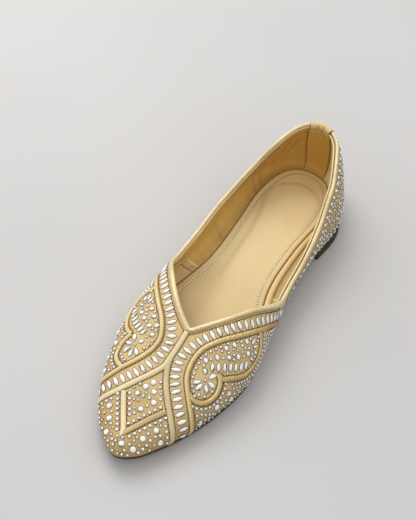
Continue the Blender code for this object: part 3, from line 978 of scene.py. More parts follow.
def build_ribs():
    """The stem, branches and diamond in pale leather, the second ribs and hearts in deeper gold."""
    pale, deep = [], []
    dashes = Joined()
    lines = []
    for side in SIDES:
        for table, group, half, height, taper in (
            (BRANCH, pale, PALE_HALF, PALE_HEIGHT + 0.16 * (side < 0), (0.5, 0.5)),
            (DIAMOND, pale, PALE_HALF, PALE_HEIGHT - 0.04, (0.0, 0.0)),
            (SECOND_RIB, deep, RIB_HALF, RIB_HEIGHT, (0.5, 0.5)),
            (HEART_TOE, deep, RIB_HALF, RIB_HEIGHT, (0.0, 0.0)),
            (HEART_SIDE, deep, RIB_HALF, RIB_HEIGHT, (0.0, 0.0)),
        ):
            points, normals, layout = rib_line(side, table[side])
            hidden = 0
            if table is BRANCH and side < 0:
                points = shift_stem(points, layout)
            if table is BRANCH and side > 0:
                points, normals, layout, hidden = join_stem(points, normals, layout)
            if table is BRANCH:
                middle = clamped(1 - layout[:, 1:2] / 1.5)
                normals = unit(normals * (1 - middle * (np.abs(normals[:, :1]) > 0) * [1, 0, 0]))
            if table is DIAMOND:
                ahead = unit(points[-1] - points[-4])
                more = np.arange(1, 7)[:, None] * 0.5 * MM
                points = np.vstack([points, points[-1] + more * ahead])
                normals = np.vstack([normals, np.repeat(normals[-1:], 6, axis=0)])
            is_pale = group is pale
            cord = sweep(points, normals, half, height, 7 + side, taper, 0.03 if is_pale else 0.13, 13,
                         2.8 if is_pale else 2.2)
            if table is DIAMOND:
                cord[..., 0] = np.where(cord[..., 0] * side < 0, 0.0, cord[..., 0])
                points, normals = points[:-6], normals[:-6]
            group.append(cord)
            lines.append((side, points[hidden:], normals[hidden:]))
    for side, points, normals in lines:
        for edge in (1, -1):
            offset = edge * (RIB_HALF + STITCH_FROM_RIB) * MM
            stitch_line(dashes, points, normals, offset, *RIB_STITCH, lift=0.04 * MM, skip=1.2 * MM)
    # Painted shade: the +X branch and diamond painted darker, as they face away from the light
    add_cord("ribs_pale", pale, PALE, (0.45, 0.95, 0.0, 0.0), 0.45)
    add_cord("ribs_gold", deep, RIB, (0.05,) * 6, 0.95)
    dashes.build("rib_stitching", DARK_THREAD, "dark_thread", smooth=True)
    return lines


# ---------------------------------------------------------------- stones


def faceted(outline, table, height):
    """A cut stone: girdle outline at the base, a tilted crown and a flat table. Unit size."""
    outline = np.asarray(outline, float)
    count = len(outline)
    base = np.column_stack([outline, np.full(count, -0.12)])
    rim = np.column_stack([outline, np.full(count, 0.18 * height)])
    half = (outline + np.roll(outline, -1, 0)) / 2
    crown = np.column_stack([half * (0.5 + 0.5 * table), np.full(count, height * 0.72)])
    top = np.column_stack([outline * table, np.full(count, height)])
    points = np.vstack([base, rim, crown, top])
    faces = []
    for i in range(count):
        j = (i + 1) % count
        faces.append((i, j, count + j, count + i))
        faces.append((count + i, count + j, 2 * count + i))
        faces.append((2 * count + i, count + j, 3 * count + j))
        faces.append((2 * count + i, 3 * count + j, 3 * count + i))
        faces.append((count + i, 2 * count + i, 3 * count + i))
    faces.append(tuple(range(3 * count, 4 * count)))
    return points, faces


def cup(outline):
    """A thin dark cup under a stone, a little wider than its girdle, for its setting and the painted shadow
    round it. Unit size.
    """
    outline = np.asarray(outline, float)
    count = len(outline)
    points = np.vstack([np.column_stack([outline * grow, np.full(count, rise)])
                        for grow, rise in ((1.0, -0.2), (1.0, 0.10), (0.86, 0.16))])
    faces = []
    for ring in (0, count):
        for i in range(count):
            j = (i + 1) % count
            faces.append((ring + i, ring + j, ring + count + j, ring + count + i))
    faces.append(tuple(range(2 * count, 3 * count)))
    return points, faces


def ring_outline(count):
    t = np.arange(count) * 2 * np.pi / count
    return np.stack([np.cos(t), np.sin(t)], axis=1) * 0.5


def leaf_outline(count, sharp=1.5, blunt=0.0):
    """A navette: pointed at both ends, or fuller towards its far end. Unit length and width."""
    t = np.arange(count) * 2 * np.pi / count
    x = np.cos(t) * 0.5
    lean = 1 + blunt * np.cos(t)
    y = np.sign(np.sin(t)) * np.abs(np.sin(t)) ** sharp * 0.5 * lean
    return np.stack([x, y], axis=1)


CUTS = {
    "large": (ring_outline(12), 0.55, 0.40),
    "round": (ring_outline(8), 0.50, 0.46),
    "small": (ring_outline(6), 0.50, 0.46),
    "navette": (leaf_outline(14), 0.48, 0.42),
    "petal": (leaf_outline(14, 1.3, 0.28), 0.48, 0.44),
}
STONES = {name: faceted(*cut) for name, cut in CUTS.items()}
# Facets painted with one brightness, as if they caught the light together: four fans round the crown, and the
# table
FANS = {
    name: np.append(np.repeat(np.arange(len(cut[0])) * 4 // len(cut[0]), 5), 4) for name, cut in CUTS.items()
}
CUPS = {name: cup(cut[0]) for name, cut in CUTS.items()}
# Length, width and height of the stones that have a place of their own
NAVETTE_SIZE = (6.1 * MM, 2.4 * MM, 1.6 * MM)
OVAL_SIZE = (3.1 * MM, 2.5 * MM, 2.1 * MM)
LARGE_SIZE = (3.3 * MM, 3.3 * MM, 2.4 * MM)
NAVETTE_PITCH = 4.05 * MM
CUP_RIM = 0.20 * MM


class Setting:
    """Stones set on the upper, with their cups, and the room each one takes."""

    def __init__(self):
        self.stones = {"stones_fancy": Joined(), "stones_vamp": Joined(), "stones_quarters": Joined()}
        self.tones = {name: [] for name in self.stones}
        self.rng = np.random.default_rng(41)
        self.cups = Joined()
        self.room = np.zeros((8000, 4))
        self.taken = 0

    def place(self, group, cut, point, normal, along_dir, length, width=None, height=None):
        # Painted reflection: a random brightness for each fan of facets, and a bright table
        lit = self.rng.uniform(0, 1, 5) * [1, 1, 1, 1, 0.3] + [0, 0, 0, 0, 0.7]
        self.tones[group].append(lit[FANS[cut]])
        width = width or length
        height = height or width
        up = unit(normal)
        ahead = unit(along_dir - (along_dir @ up) * up)
        axes = np.stack([ahead, np.cross(up, ahead), up])
        self.stones[group].add(STONES[cut], point, axes, np.array([length, width, height]))
        self.cups.add(CUPS[cut], point, axes, np.array([length + 2 * CUP_RIM, width + 2 * CUP_RIM, 1.2 * MM]))
        for spot in (-1, 0, 1) if length > 1.3 * width else (0,):
            centre = point + ahead * spot * (length - width) / 2
            self.room[self.taken] = (*centre, width / 2)
            self.taken += 1

    def build(self):
        for name, stones in self.stones.items():
            piece = stones.build(name, STONE, "stone_crystal")
            tone = piece.data.attributes.new("tone", "FLOAT", "FACE")
            tone.data.foreach_set("value", np.concatenate(self.tones[name]).astype("f4"))
        self.cups.build("stone_cups", CUP_SHADOW, "stone_crystal")

    def free(self, point, radius, gap):
        room = self.room[: self.taken]
        apart = room[:, :3] - point
        return bool(((apart * apart).sum(1) > (room[:, 3] + radius + gap) ** 2).all())


def ends_on_upper(side, start, end, share=0.5):
    """A point between two (ridge, girth) spots, its normal, the direction and the distance."""
    rows = np.array([start, end, np.asarray(start) * (1 - share) + np.asarray(end) * share])
    points, normals = on_upper(side, rows)
    span = points[1] - points[0]
    return points[2], normals[2], span, float(np.linalg.norm(span))


# Middle of the band of navettes: (ridge, girth)
BAND = {
    1: (
        (140.0, 71.0), (140.5, 62.0), (142.0, 56.0), (147.0, 49.0), (155.0, 39.5), (163.5, 29.5),
        (170.0, 21.5), (177.5, 14.0), (183.5, 9.0), (190.5, 6.0), (194.5, 5.0), (198.5, 5.5), (205.5, 8.0),
        (211.5, 13.5), (216.5, 19.0), (219.5, 24.5), (221.5, 29.5), (222.5, 34.0),
    ),
    -1: (
        (147.5, 71.0), (148.0, 60.0), (150.0, 50.0), (154.5, 42.0), (165.0, 28.5), (173.0, 18.5),
        (181.0, 10.0), (186.5, 6.0), (190.5, 5.0), (194.0, 5.0), (198.5, 6.0), (205.5, 9.0), (212.0, 13.5),
        (217.0, 19.5), (220.5, 25.0), (222.0, 30.0), (222.5, 34.5),
    ),
}
# The flower in each heart: centre, then the turn of each petal in degrees
FLOWERS = {1: ((198.0, 22.5), (144, 90, 45, -14, -47)), -1: ((198.5, 22.0), (139, 89, 42, -6, -47))}
PETAL_FROM, PETAL_TO = 2.0, 6.5
# Leaves side by side along a line from the flower into the heart's far lobe, all at one lean
LEAF_ROW = {
    1: ((191.0, 22.4), (187.4, 28.9), (184.0, 34.8), (180.0, 39.3)),
    -1: ((191.2, 21.4), (189.2, 27.4), (186.0, 32.4), (182.0, 36.4)),
}
LEAF_COUNT = 7
LEAF_LENGTH = 4.3
LEAF_LEAN = {1: 31, -1: 35}
# Single leaves at the end of each heart: (ridge, girth), turn in degrees
SPRIGS = {
    1: ((169.0, 36.5, 0), (170.0, 39.5, -35), (172.0, 41.5, 105), (176.0, 41.0, 90)),
    -1: ((178.5, 34.0, -80), (174.0, 32.0, 8), (175.0, 34.5, -12), (175.5, 29.5, 30)),
}
# Ovals in each heart, and large rounds of the diamond, the toe and the sides: (ridge, girth)
OVALS = {
    1: (
        (190, 17.5), (186, 22), (183, 28), (180, 32.5), (180, 24), (176.5, 27), (171.5, 32.5), (175.5, 37),
        (194.5, 20),
    ),
    -1: (
        (196, 19.5), (191, 16), (187.5, 20.5), (186, 16.5), (185, 26), (182.5, 21), (179.5, 25),
        (182.5, 30),
    ),
}
LARGE = {
    1: (
        (216, 2), (220.5, 5), (227.5, 0), (229.5, 14.5), (236, 11.5), (231, 20.5), (243.5, 6), (240.5, 12),
        (213, 33.5), (203, 37), (195, 38.5), (195, 43.5),
    ),
    -1: (
        (212, 1), (215.5, 3.5), (220, 5.5), (229, 16), (234.5, 12.5), (239.5, 11.5), (212.5, 33),
        (206, 36.5), (199, 36), (193, 41),
    ),
}


def inside(rows, ridge, girth):
    """Whether (ridge, girth) spots are inside a closed outline."""
    rows = np.asarray(rows, float)
    crossings = np.zeros(np.shape(ridge), bool)
    for (r0, g0), (r1, g1) in zip(rows, np.roll(rows, -1, 0)):
        if g0 == g1:
            continue
        level = (girth >= min(g0, g1)) & (girth < max(g0, g1))
        crossings ^= level & (ridge < r0 + (girth - g0) / (g1 - g0) * (r1 - r0))
    return crossings


def part_of(rows, start, end):
    """The stretch of a rib between the spots nearest to two (ridge, girth) spots."""
    curve = spline(rows)
    i, j = (int(((curve - np.array(spot)) ** 2).sum(1).argmin()) for spot in (start, end))
    return curve[i : j + 1] if i < j else curve[j : i + 1][::-1]


def outlines(side):
    """The fields between the ribs, as closed (ridge, girth) outlines."""
    diamond = spline(DIAMOND[side])
    toe_lobe, side_lobe = spline(HEART_TOE[side]), spline(HEART_SIDE[side])
    fork = DIAMOND[side][0]
    near = part_of(BRANCH[side], (203.0, 1.0), fork)
    far = part_of(BRANCH[side], fork, BRANCH[side][-1])
    low = part_of(SECOND_RIB[side], HEART_TOE[side][0], SECOND_RIB[side][-1])
    rear = part_of(SECOND_RIB[side], SECOND_RIB[side][0], HEART_SIDE[side][-1])
    heart = part_of(SECOND_RIB[side], HEART_SIDE[side][-1], HEART_TOE[side][0])
    return {
        "diamond": np.vstack([near, diamond, [(243.0, -1.0), (203.5, -1.0)]]),
        "toe": np.vstack([far, [(228.0, 60.0), (243.9, 60.0), (243.9, -1.0)], diamond[::-1]]),
        "heart": np.vstack([heart, toe_lobe, side_lobe]),
        "side": np.vstack([rear, side_lobe[::-1], toe_lobe[::-1], low, [(218.0, 90.0), (120.0, 90.0)]]),
    }


def away_from(lines, points, room):
    """Whether points keep this distance from every line, in metres."""
    clear = np.ones(len(points), bool)
    for line in lines:
        for chunk in range(0, len(points), 400):
            part = points[chunk : chunk + 400]
            apart = ((part[:, None] - line[None, ::2]) ** 2).sum(2).min(1)
            clear[chunk : chunk + 400] &= apart > room * room
    return clear


def random_direction(rng):
    t = rng.uniform(0, 2 * np.pi)
    return np.array([math.cos(t), math.sin(t), 0.0])


RIB_CLEARANCE = 1.75  # from the middle of a rib to the nearest small stone


def fill(setting, group, side, outline, rng, sizes, gap, tries, lines, keep=None, bottom=2.6):
    """Small rounds scattered over a field, none nearer to a rib, the sole or another stone than it may."""
    rows = np.asarray(outline)
    low, high = rows.min(0), rows.max(0)
    ridge = rng.uniform(low[0], min(high[0], 243.9), tries)
    girth = rng.uniform(max(low[1], 0.0), high[1], tries)
    share, turn = locate(side, ridge, girth)
    total = rows_at(side, share)[:, -1] / MM
    good = inside(rows, ridge, girth) & (girth < total - bottom) & (turn < 89.0)
    if keep is not None:
        good &= keep(ridge, girth)
    share, turn = share[good], turn[good]
    points, normals = on_skin(side, share, turn)
    pick = rng.choice(len(sizes), len(points))
    radii = np.array(sizes)[pick] / 2 * MM
    clear = away_from(lines, points, (RIB_CLEARANCE + max(sizes) / 2) * MM)
    for point, normal, radius in zip(points[clear], normals[clear], radii[clear]):
        if setting.free(point, radius, gap * MM):
            ahead = random_direction(rng)
            setting.place(group, "round", point, normal, ahead, 2 * radius, None, 1.7 * radius)


def row_beside(setting, group, side, rows, offset, pitch, size, rng, test, bottom):
    """A row of rounds at an even distance from a rib, to its other side if offset is below 0."""
    layout = spline(rows)
    points, normals = on_upper(side, layout)
    _, across, _ = frames_along(points, normals)
    row = points + across * offset * MM * side
    placed, _, _ = resample(row, normals, pitch * MM)
    for middle in placed[:-1] + np.diff(placed, axis=0) / 2:
        point, normal, spot = drop_on_upper(side, middle)
        if spot[2] < bottom or not test(spot[0], spot[1]):
            continue
        if setting.free(point, size / 2 * MM, 0.3 * MM):
            ahead = random_direction(rng)
            setting.place(group, "round", point, normal, ahead, size * MM, None, 0.85 * size * MM)


SAMPLED = {}  # shares, turns and points all over a side's skin, worked out when first needed


def drop_on_upper(side, point):
    """The nearest spot of the upper's face to a point: place, normal and (ridge, girth, up) in mm."""
    if side not in SAMPLED:
        shares = np.repeat(np.linspace(0.0, 1, 401), 121)
        turns = np.tile(np.linspace(*STEADY_TURNS, 121), 401)
        SAMPLED[side] = (shares, turns, skin(side, shares, turns))
    shares, turns, points = SAMPLED[side]
    k = ((points - point) ** 2).sum(1).argmin()
    normal = skin_normal(side, shares[k], turns[k])
    place = point - ((point - points[k]) @ normal) * normal
    total = float(rows_at(side, [shares[k]])[0, -1])
    up = float(up_at_turn(side, [shares[k]], turns[k])[0])
    return place, normal, (float(ridge_of(shares[k])) / MM, (total - up) / MM, up / MM)


def build_band(setting):
    """Navettes across the band between the binding and branch and the second rib."""
    for side in SIDES:
        points, normals = on_upper(side, spline(BAND[side]))
        line, carried, _ = resample(points, normals, NAVETTE_PITCH)
        tangent, across, _ = frames_along(line, carried)
        for i in range(len(line)):
            point, normal, spot = drop_on_upper(side, line[i])
            if spot[2] < 2.5:
                continue
            direction = across[i] + 0.10 * tangent[i]
            setting.place("stones_fancy", "navette", point, normal, direction, *NAVETTE_SIZE)


def build_stones(lines):
    """Stones over the vamp and quarters."""
    setting = Setting()
    rng = np.random.default_rng(7)
    rib_points = [points for _, points, _ in lines]
    build_band(setting)
    for side in SIDES:
        centre, turns = FLOWERS[side]
        leaves = [(centre, turn, PETAL_FROM, PETAL_TO, 2.5) for turn in turns]
        row = along(spline(LEAF_ROW[side]), np.linspace(0, 1, LEAF_COUNT))
        leaves += [(spot, LEAF_LEAN[side], -LEAF_LENGTH / 2, LEAF_LENGTH / 2, 2.1) for spot in row]
        leaves += [((r, g), turn, -1.9, 1.9, 1.8) for r, g, turn in SPRIGS[side]]
        for spot, turn, inner, outer, width in leaves:
            ahead = np.array([math.cos(math.radians(turn)), math.sin(math.radians(turn))])
            point, normal, span, length = ends_on_upper(side, spot + ahead * inner, spot + ahead * outer)
            setting.place("stones_fancy", "petal", point, normal, span, length, width * MM, 0.7 * width * MM)
        for spots, size in ((OVALS[side], OVAL_SIZE), (LARGE[side], LARGE_SIZE)):
            for spot in spots:
                point, normal, span, _ = ends_on_upper(side, spot, (spot[0] + 1.0, spot[1] + 2.0), 0.0)
                setting.place("stones_fancy", "large", point, normal, span, *size)
    for side in SIDES:
        field = outlines(side)
        middle = FLOWERS[side][0]
        second, toe_lobe, side_lobe = SECOND_RIB[side], HEART_TOE[side], HEART_SIDE[side]
        vamp = "stones_vamp"
        for name, rows, offset, pitch, size in (
            ("diamond", DIAMOND[side], -3.2, 3.1, 1.95),
            ("toe", DIAMOND[side], 3.3, 3.0, 1.95),
            ("toe", BRANCH[side], -3.3, 3.0, 1.8),
            ("heart", second, 3.3, 3.1, 1.7),
            ("side", toe_lobe, 3.3, 2.6, 1.8),
            ("side", side_lobe, 3.3, 2.3, 1.6),
            ("side", second, 3.3, 2.8, 1.7),
            ("side", side_lobe, 5.7, 2.4, 1.5),
        ):
            for sign in (1, -1):
                row_beside(setting, vamp, side, rows, sign * offset, pitch, size, rng,
                           lambda r, g, name=name: inside(field[name], np.array(r), np.array(g)),
                           5.0 if name == "toe" else 2.8)
        point, normal, span, _ = ends_on_upper(side, tuple(middle), (middle[0] + 1, middle[1]), 0.0)
        setting.place(vamp, "round", point, normal, span, 1.5 * MM)
        fill(setting, vamp, side, field["diamond"], rng, (1.9, 1.8, 1.4), 0.75, 3000, rib_points)
        fill(setting, vamp, side, field["toe"], rng, (1.9, 1.8, 1.6, 1.4), 0.65, 6000, rib_points, bottom=5.0)
        fill(setting, vamp, side, field["heart"], rng, (1.7, 1.6, 1.4), 0.6, 5000, rib_points,
             keep=lambda r, g: np.hypot(r - middle[0], g - middle[1]) > 6.6)
        fill(setting, vamp, side, field["side"], rng, (1.7, 1.6, 1.5), 0.7, 12000, rib_points)
    for side in SIDES:
        stud_quarter(setting, side, rng)
    setting.build()


QUARTER_PITCH = 4.6 * MM
QUARTER_ROUND = 2.5 * MM
QUARTER_RISE = {1: 2.1 * MM, -1: 1.0 * MM}  # height of the rounds in the first row


def row_drop(side, shares):
    """How far the quarter's first row of stones lies below the topline."""
    if side < 0:
        return np.full(np.shape(shares), 9.0 * MM)
    return (3.5 + 4.0 * clamped((mean_station(shares) - 0.060) / 0.020)) * MM


def stud_quarter(setting, side, rng):
    """A row of larger rounds under the topline and small ones close together below it."""
    last = float(locate(side, [SIDE_SEAM[side] - 2.2], [10.0])[0][0])
    shares = np.linspace(0.0, last, 600)
    ups = edge_up(side, shares) - row_drop(side, shares)
    turns = turn_at_up(side, shares, ups)
    row, normals = on_skin(side, shares, turns)
    placed, carried, _ = resample(row, np.column_stack([normals, shares]), QUARTER_PITCH)
    for i in range(len(placed)):
        if carried[i, 3] < 0.042:
            continue
        setting.place("stones_quarters", "round", placed[i], carried[i, :3], random_direction(rng),
                      QUARTER_ROUND, None, QUARTER_RISE[side])
    tries = 16000
    share = rng.uniform(0.0, last, tries)
    top = edge_up(side, share)
    up = 1.9 * MM + rng.uniform(0, 1, tries) * (top - row_drop(side, share) - 0.6 * MM)
    good = (share > 0.047) | (top - up > 8.2 * MM)
    share, up = share[good], up[good]
    turn = turn_at_up(side, share, up)
    points, normals = on_skin(side, share, turn)
    radii = rng.choice([0.95, 0.88, 0.80, 0.72], len(points)) * MM
    for point, normal, radius in zip(points, normals, radii):
        if setting.free(point, radius, 0.62 * MM):
            setting.place("stones_quarters", "small", point, normal, random_direction(rng), 2 * radius, None,
                          (1.7 if side > 0 else 0.9) * radius)


# ---------------------------------------------------------------- bindings


def topline(side):
    """Points in the middle of the wall, normals and shares along the topline, heel to throat."""
    shares = behind_throat(260)
    ups = edge_up(side, shares)
    ups[-1] = rows_at(side, shares[-1:])[0, -1]
    turns = turn_at_up(side, shares, ups)
    normals = skin_normal(side, shares, np.clip(turns, *STEADY_TURNS))
    return skin(side, shares, turns) - WALL / 2 * normals, normals, shares


def tube(points, across, up, wide, tall, around, closed):
    """Rings round a line: half width and half height may change along it."""
    turn = np.arange(around) * 2 * np.pi / around
    rings = points[:, None] + across[:, None] * (wide[:, None] * np.cos(turn))[..., None] \
        + up[:, None] * (tall[:, None] * np.sin(turn))[..., None]
    grid = np.concatenate([rings, rings[:, :1]], axis=1)
    return grid.reshape(-1, 3), grid_faces(len(points), around + 1, closed=closed)


def piping_path():
    """The line of the topline binding, its frame and how far it is onto the throat's V."""
    right, left = topline(1), topline(-1)
    points, normals, shares = (closed_ring(*halves) for halves in zip(right, left))
    counts = (len(right[2]), len(left[2]) - 2)
    corner = np.repeat([THROAT_CORNER[1], THROAT_CORNER[-1]], counts)
    full = np.repeat([1.0, 0.4], counts)
    past = mean_station(shares) - corner
    onto_v = smooth_step(clamped((past + 0.006) / 0.012))
    full = full * bell(past - 0.0005, 0.0065)
    line, carried, at = resample(points, np.column_stack([normals, onto_v, full]), 0.6 * MM, closed=True)
    tip = np.linalg.norm(line - line[np.argmax(line[:, 1])], axis=1)
    soft = clamped((tip - 3 * MM) / (6 * MM))[:, None]
    line = line + bell(tip, 9 * MM)[:, None] * [1.0 * MM, 0.0, 0.0]
    for turn in range(10):
        eased = (np.roll(line, 1, 0) + 2 * line + np.roll(line, -1, 0)) / 4
        line = line + (eased - line) * (soft if turn > 0 else 1.0)
    _, across, up = frames_along(line, carried[:, :3], closed=True)
    return line, across, up, carried[:, 3], carried[:, 4], at


PIPE_WIDE = 1.15 * MM
PIPE_TALL = 1.15 * MM
VEE_WIDE = 1.95 * MM
VEE_TALL = 1.25 * MM


def build_piping():
    """The rolled binding all round the topline, wider over the vamp's V than along the quarters."""
    line, across, up, v, full, at = piping_path()
    ripple = 0.03 * MM * hash_noise(at / (1.6 * MM), 5) + 0.03 * MM * hash_noise(at / (4.1 * MM), 9)
    wide = PIPE_WIDE + (VEE_WIDE - PIPE_WIDE) * v + 0.45 * MM * full + ripple
    tall = PIPE_TALL + (VEE_TALL - PIPE_TALL) * v + 0.35 * MM * full + ripple
    centre = line + across * (0.5 * MM * full + 0.30 * MM * v)[:, None]
    points, faces = tube(centre, across, up, wide, tall, 16, True)
    # Painted shade: the lower side of the binding over the V painted darker, the +X leg more than the -X leg
    flank = clamped(0.35 - 0.95 * np.cos(np.arange(17) * 2 * np.pi / 16)) ** 0.8
    leg = np.where(line[:, 0] > line[np.argmin(line[:, 1]), 0], 1.0, 0.55)
    tone = ((v * leg)[:, None] * flank).ravel()
    piping = add_mesh("topline_piping", points, faces, PIPING, merge=1e-6, tone=tone)
    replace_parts(piping, "topline_binding")
    dashes = Joined()
    inside_v = np.where(v > 0.35)[0]
    for run in np.split(inside_v, np.where(np.diff(inside_v) > 1)[0] + 1):
        row = centre[run] - across[run] * (wide[run] + 0.12 * MM)[:, None]
        stitch_line(dashes, row, up[run], 0.0, *BINDING_STITCH, lift=0.95 * MM)
    return dashes


BEAD_BELOW = {1: 0.3 * MM, -1: 0.7 * MM}
BEAD_DEPTH = {1: 3.15 * MM, -1: 2.4 * MM}
BEAD_DEPTH_AT_CORNER = 1.5 * MM


def build_bead():
    """The thin cord that edges the lining inside the topline, from corner to corner round the heel."""
    pieces = {}
    for side in SIDES:
        shares = np.linspace(0, float(share_at_station(THROAT_CORNER[side] + 0.0015)), 200)
        stations = mean_station(shares)
        ups = edge_up(side, shares) - BEAD_BELOW[side]
        turns = turn_at_up(side, shares, ups)
        edge, normals = on_skin(side, shares, turns)
        at_corner = clamped((stations - THROAT_CORNER[side] + 0.006) / 0.0075) ** 2
        depth = BEAD_DEPTH[side] - (BEAD_DEPTH[side] - BEAD_DEPTH_AT_CORNER) * at_corner
        pieces[side] = (edge - depth[:, None] * normals, normals)
    points, normals = (np.vstack([left[::-1], right[1:]]) for left, right in zip(pieces[-1], pieces[1]))
    line, carried, at = resample(points, normals, 0.7 * MM)
    _, across, up = frames_along(line, carried)
    size = 0.72 * MM + 0.03 * MM * hash_noise(at / (2.5 * MM), 2)
    size *= np.sqrt(np.clip(np.minimum(at, at[-1] - at) / (4 * MM), 0.05, 1))
    points, faces = tube(line, across, up, size, size, 10, False)
    add_mesh("lining_bead", points, faces, BEAD, merge=1e-6)


# ---------------------------------------------------------------- lining

BORDER_WIDTH = 0.0040
BORDER_SHARE = 0.6
# Edge of the lining below the topline: distance down, depth to +X, depth to -X, depth under the V
LINING_EDGE = (
    (0.0, 0.9, 0.9, 0.9), (0.5, 1.0, 0.9, 1.0), (1.0, 2.1, 1.2, 1.4), (1.5, 3.2, 1.9, 1.8),
    (2.1, 3.4, 2.3, 1.8), (3.2, 3.2, 2.3, 1.8), (4.7, 2.7, 2.1, 1.8), (7.0, 2.1, 2.0, 1.8),
    (10.0, 1.8, 1.8, 1.8),
)
# Soft creases in the quarter linings: side, station, up, station, up, width, depth, in millimetres
CREASES = (
    (-1, 20, 26, 33, 3, 2.2, 0.28), (-1, 4, 31, 12, 7, 1.2, 0.20), (-1, 9, 30, 20, 5, 1.2, 0.22),
    (-1, 30, 17, 42, 2, 1.7, 0.25), (-1, 76, 18, 92, 4, 2.4, 0.22), (-1, 96, 21, 112, 6, 2.0, 0.20),
    (1, 30, 8, 22, 34, 1.8, 0.35), (1, 55, 8, 40, 26, 2.2, 0.35), (1, 90, 7, 70, 18, 2.2, 0.3),
)
# Stitching of the quarter lining to -X: station, height up the wall
LINING_SEAM = (
    (3, 38.5), (7, 35.5), (13, 31), (20, 24.5), (27, 17), (36, 12.5), (48, 11), (61, 12), (80, 15),
    (95, 18), (108, 20.5), (120, 20), (128, 19),
)
# Back edge of the vamp lining: (down the wall from 0 at the top to 1 at the sock, station)
VAMP_LINING = {
    1: (
        (0.0, 0.1235), (0.45, 0.1195), (1.0, 0.113),
    ),
    -1: (
        (0.0, 0.139), (0.15, 0.1375), (0.35, 0.1335), (0.6, 0.1265), (1.0, 0.1165),
    ),
}
VAMP_SEAM = 6.2  # of its stitching from its edge
HALF_OUTLINE = 285.0  # millimetres along the lining for a whole share


def border_foot(side, shares):
    """Foot of the sock's rolled border, as (x, station)."""
    base = along(FEATHER[side], shares)
    border = along(SOCK[side], shares)
    outward = base - border
    reach = np.linalg.norm(outward, axis=1, keepdims=True)
    room = np.maximum(reach - WALL - 0.0006, 0.0004)
    return border + outward / reach * np.minimum(BORDER_WIDTH, room * BORDER_SHARE)


def border_shows(side, stations):
    """Where the rolled border is in sight: along the waist to +X; elsewhere the lining covers it."""
    if side < 0:
        return np.zeros(np.shape(stations))
    return smooth_step(clamped((stations - 0.042) / 0.016))


def segment_gap(points, start, end):
    """Distances of 2D points from a line segment, and how far along it they are."""
    start, end = np.array(start, float), np.array(end, float)
    span = end - start
    t = clamped((points - start) @ span / (span @ span))
    return np.linalg.norm(points - start - t[..., None] * span, axis=-1), t


def lining_at(side, shares, down, extra):
    """Points of the uncreased lining, with added depth."""
    return lining_and_tone(side, shares, down, extra, False)[0]


COVE_UP = 7.5 * MM  # height above the feather edge at which the lining leaves the wall
EDGE_ZONE = 10.0 * MM  # depth of the shaped zone below the topline
ON_WALL = 0.8  # share of the way down that lies on the wall


def lining_and_tone(side, shares, down, extra=0.0, creased=True):
    """Points and tones of the lining: down runs from 0 at the topline to 1 at the sock."""
    shares, down, extra = np.broadcast_arrays(shares, down, extra)
    shape = shares.shape
    shares, down, extra = shares.ravel(), down.ravel(), extra.ravel()
    top = edge_up(side, shares)
    stations = mean_station(shares)
    shows = border_shows(side, stations)
    cove_up = np.minimum(COVE_UP - 0.0040 * shows, top * 0.45)
    edge_zone = np.minimum(EDGE_ZONE, (top - cove_up) * 0.6)
    s = clamped(down / ON_WALL)
    lower = edge_zone + (top - cove_up - edge_zone) * (s - 0.4) / 0.6
    below = np.where(s < 0.4, edge_zone * (s / 0.4) ** 1.4, lower)
    ups = top - below
    corner = THROAT_CORNER[side]
    v = clamped((stations - corner + 0.003) / 0.005)
    quarter, vee = (through(LINING_EDGE, column, below / MM) for column in (COLUMN[side], 3))
    depth = (1 - v) * quarter + v * vee
    tone = np.zeros(len(shares))
    if creased:
        spots = np.stack([stations, ups], axis=-1) / MM
        for crease_side, s0, u0, s1, u1, width, deep in CREASES:
            if crease_side == side:
                gap, t = segment_gap(spots, (s0, u0), (s1, u1))
                swell = np.sin(np.pi * (0.08 + 0.84 * t))
                depth = depth - 0.8 * deep * bell(gap, 0.6 * width) * swell
                depth = depth + 1.0 * deep * bell(gap - 1.5 * width, width) * swell
                # Painted shade: darker in the creases
                tone = np.maximum(tone, 1.4 * deep * bell(gap, 0.6 * width) * swell)
        if side < 0:
            gaps = [segment_gap(spots, a, b)[0] for a, b in zip(LINING_SEAM[:-1], LINING_SEAM[1:])]
            seam = bell(np.min(gaps, axis=0), 0.6)
            depth = depth - 0.2 * seam
            dashed = 0.62 + 0.30 * np.cos(2 * np.pi * (spots[:, 0] - 0.6 * spots[:, 1]) / 2.6)
            tone = np.maximum(tone, dashed * seam)
        else:
            # Painted light: the +X lining near the heel painted paler
            tone = tone - clamped((12.0 - spots[:, 0]) / 3.0) * clamped(spots[:, 1] / 5.0)
        depth = depth + 0.10 * value_noise(np.column_stack([spots, spots[:, :1] * 0]), 7.0, 3)
    turns = turn_at_up(side, shares, ups)
    normals = skin_normal(side, shares, np.clip(turns, *STEADY_TURNS))
    wall = skin(side, shares, turns) - (depth * MM + extra)[:, None] * normals
    foot = border_foot(side, shares)
    edge = along(SOCK[side], shares)
    foot = edge + (foot - edge) * (0.08 + 0.92 * shows)[:, None]
    height = edge_height(foot[:, 1]) + 0.0006 * shows + 0.0030 * (1 - shows)
    end = np.column_stack([foot, height])
    bend = np.column_stack([wall[:, :2] * 0.8 + foot * 0.2, height + 0.0002])
    t = clamped((down - ON_WALL) / (1 - ON_WALL))[:, None]
    lifted = end + np.array([0.0, 0.0, 1.0]) * (extra * 0.5)[:, None]
    points = (1 - t) ** 2 * wall + 2 * t * (1 - t) * bend + t * t * lifted
    # Painted shade: darker at the foot of the lining, where it meets the sock
    tone = tone + 0.45 * clamped((down - 0.90) / 0.10)
    return points.reshape(*shape, 3), tone.reshape(shape)


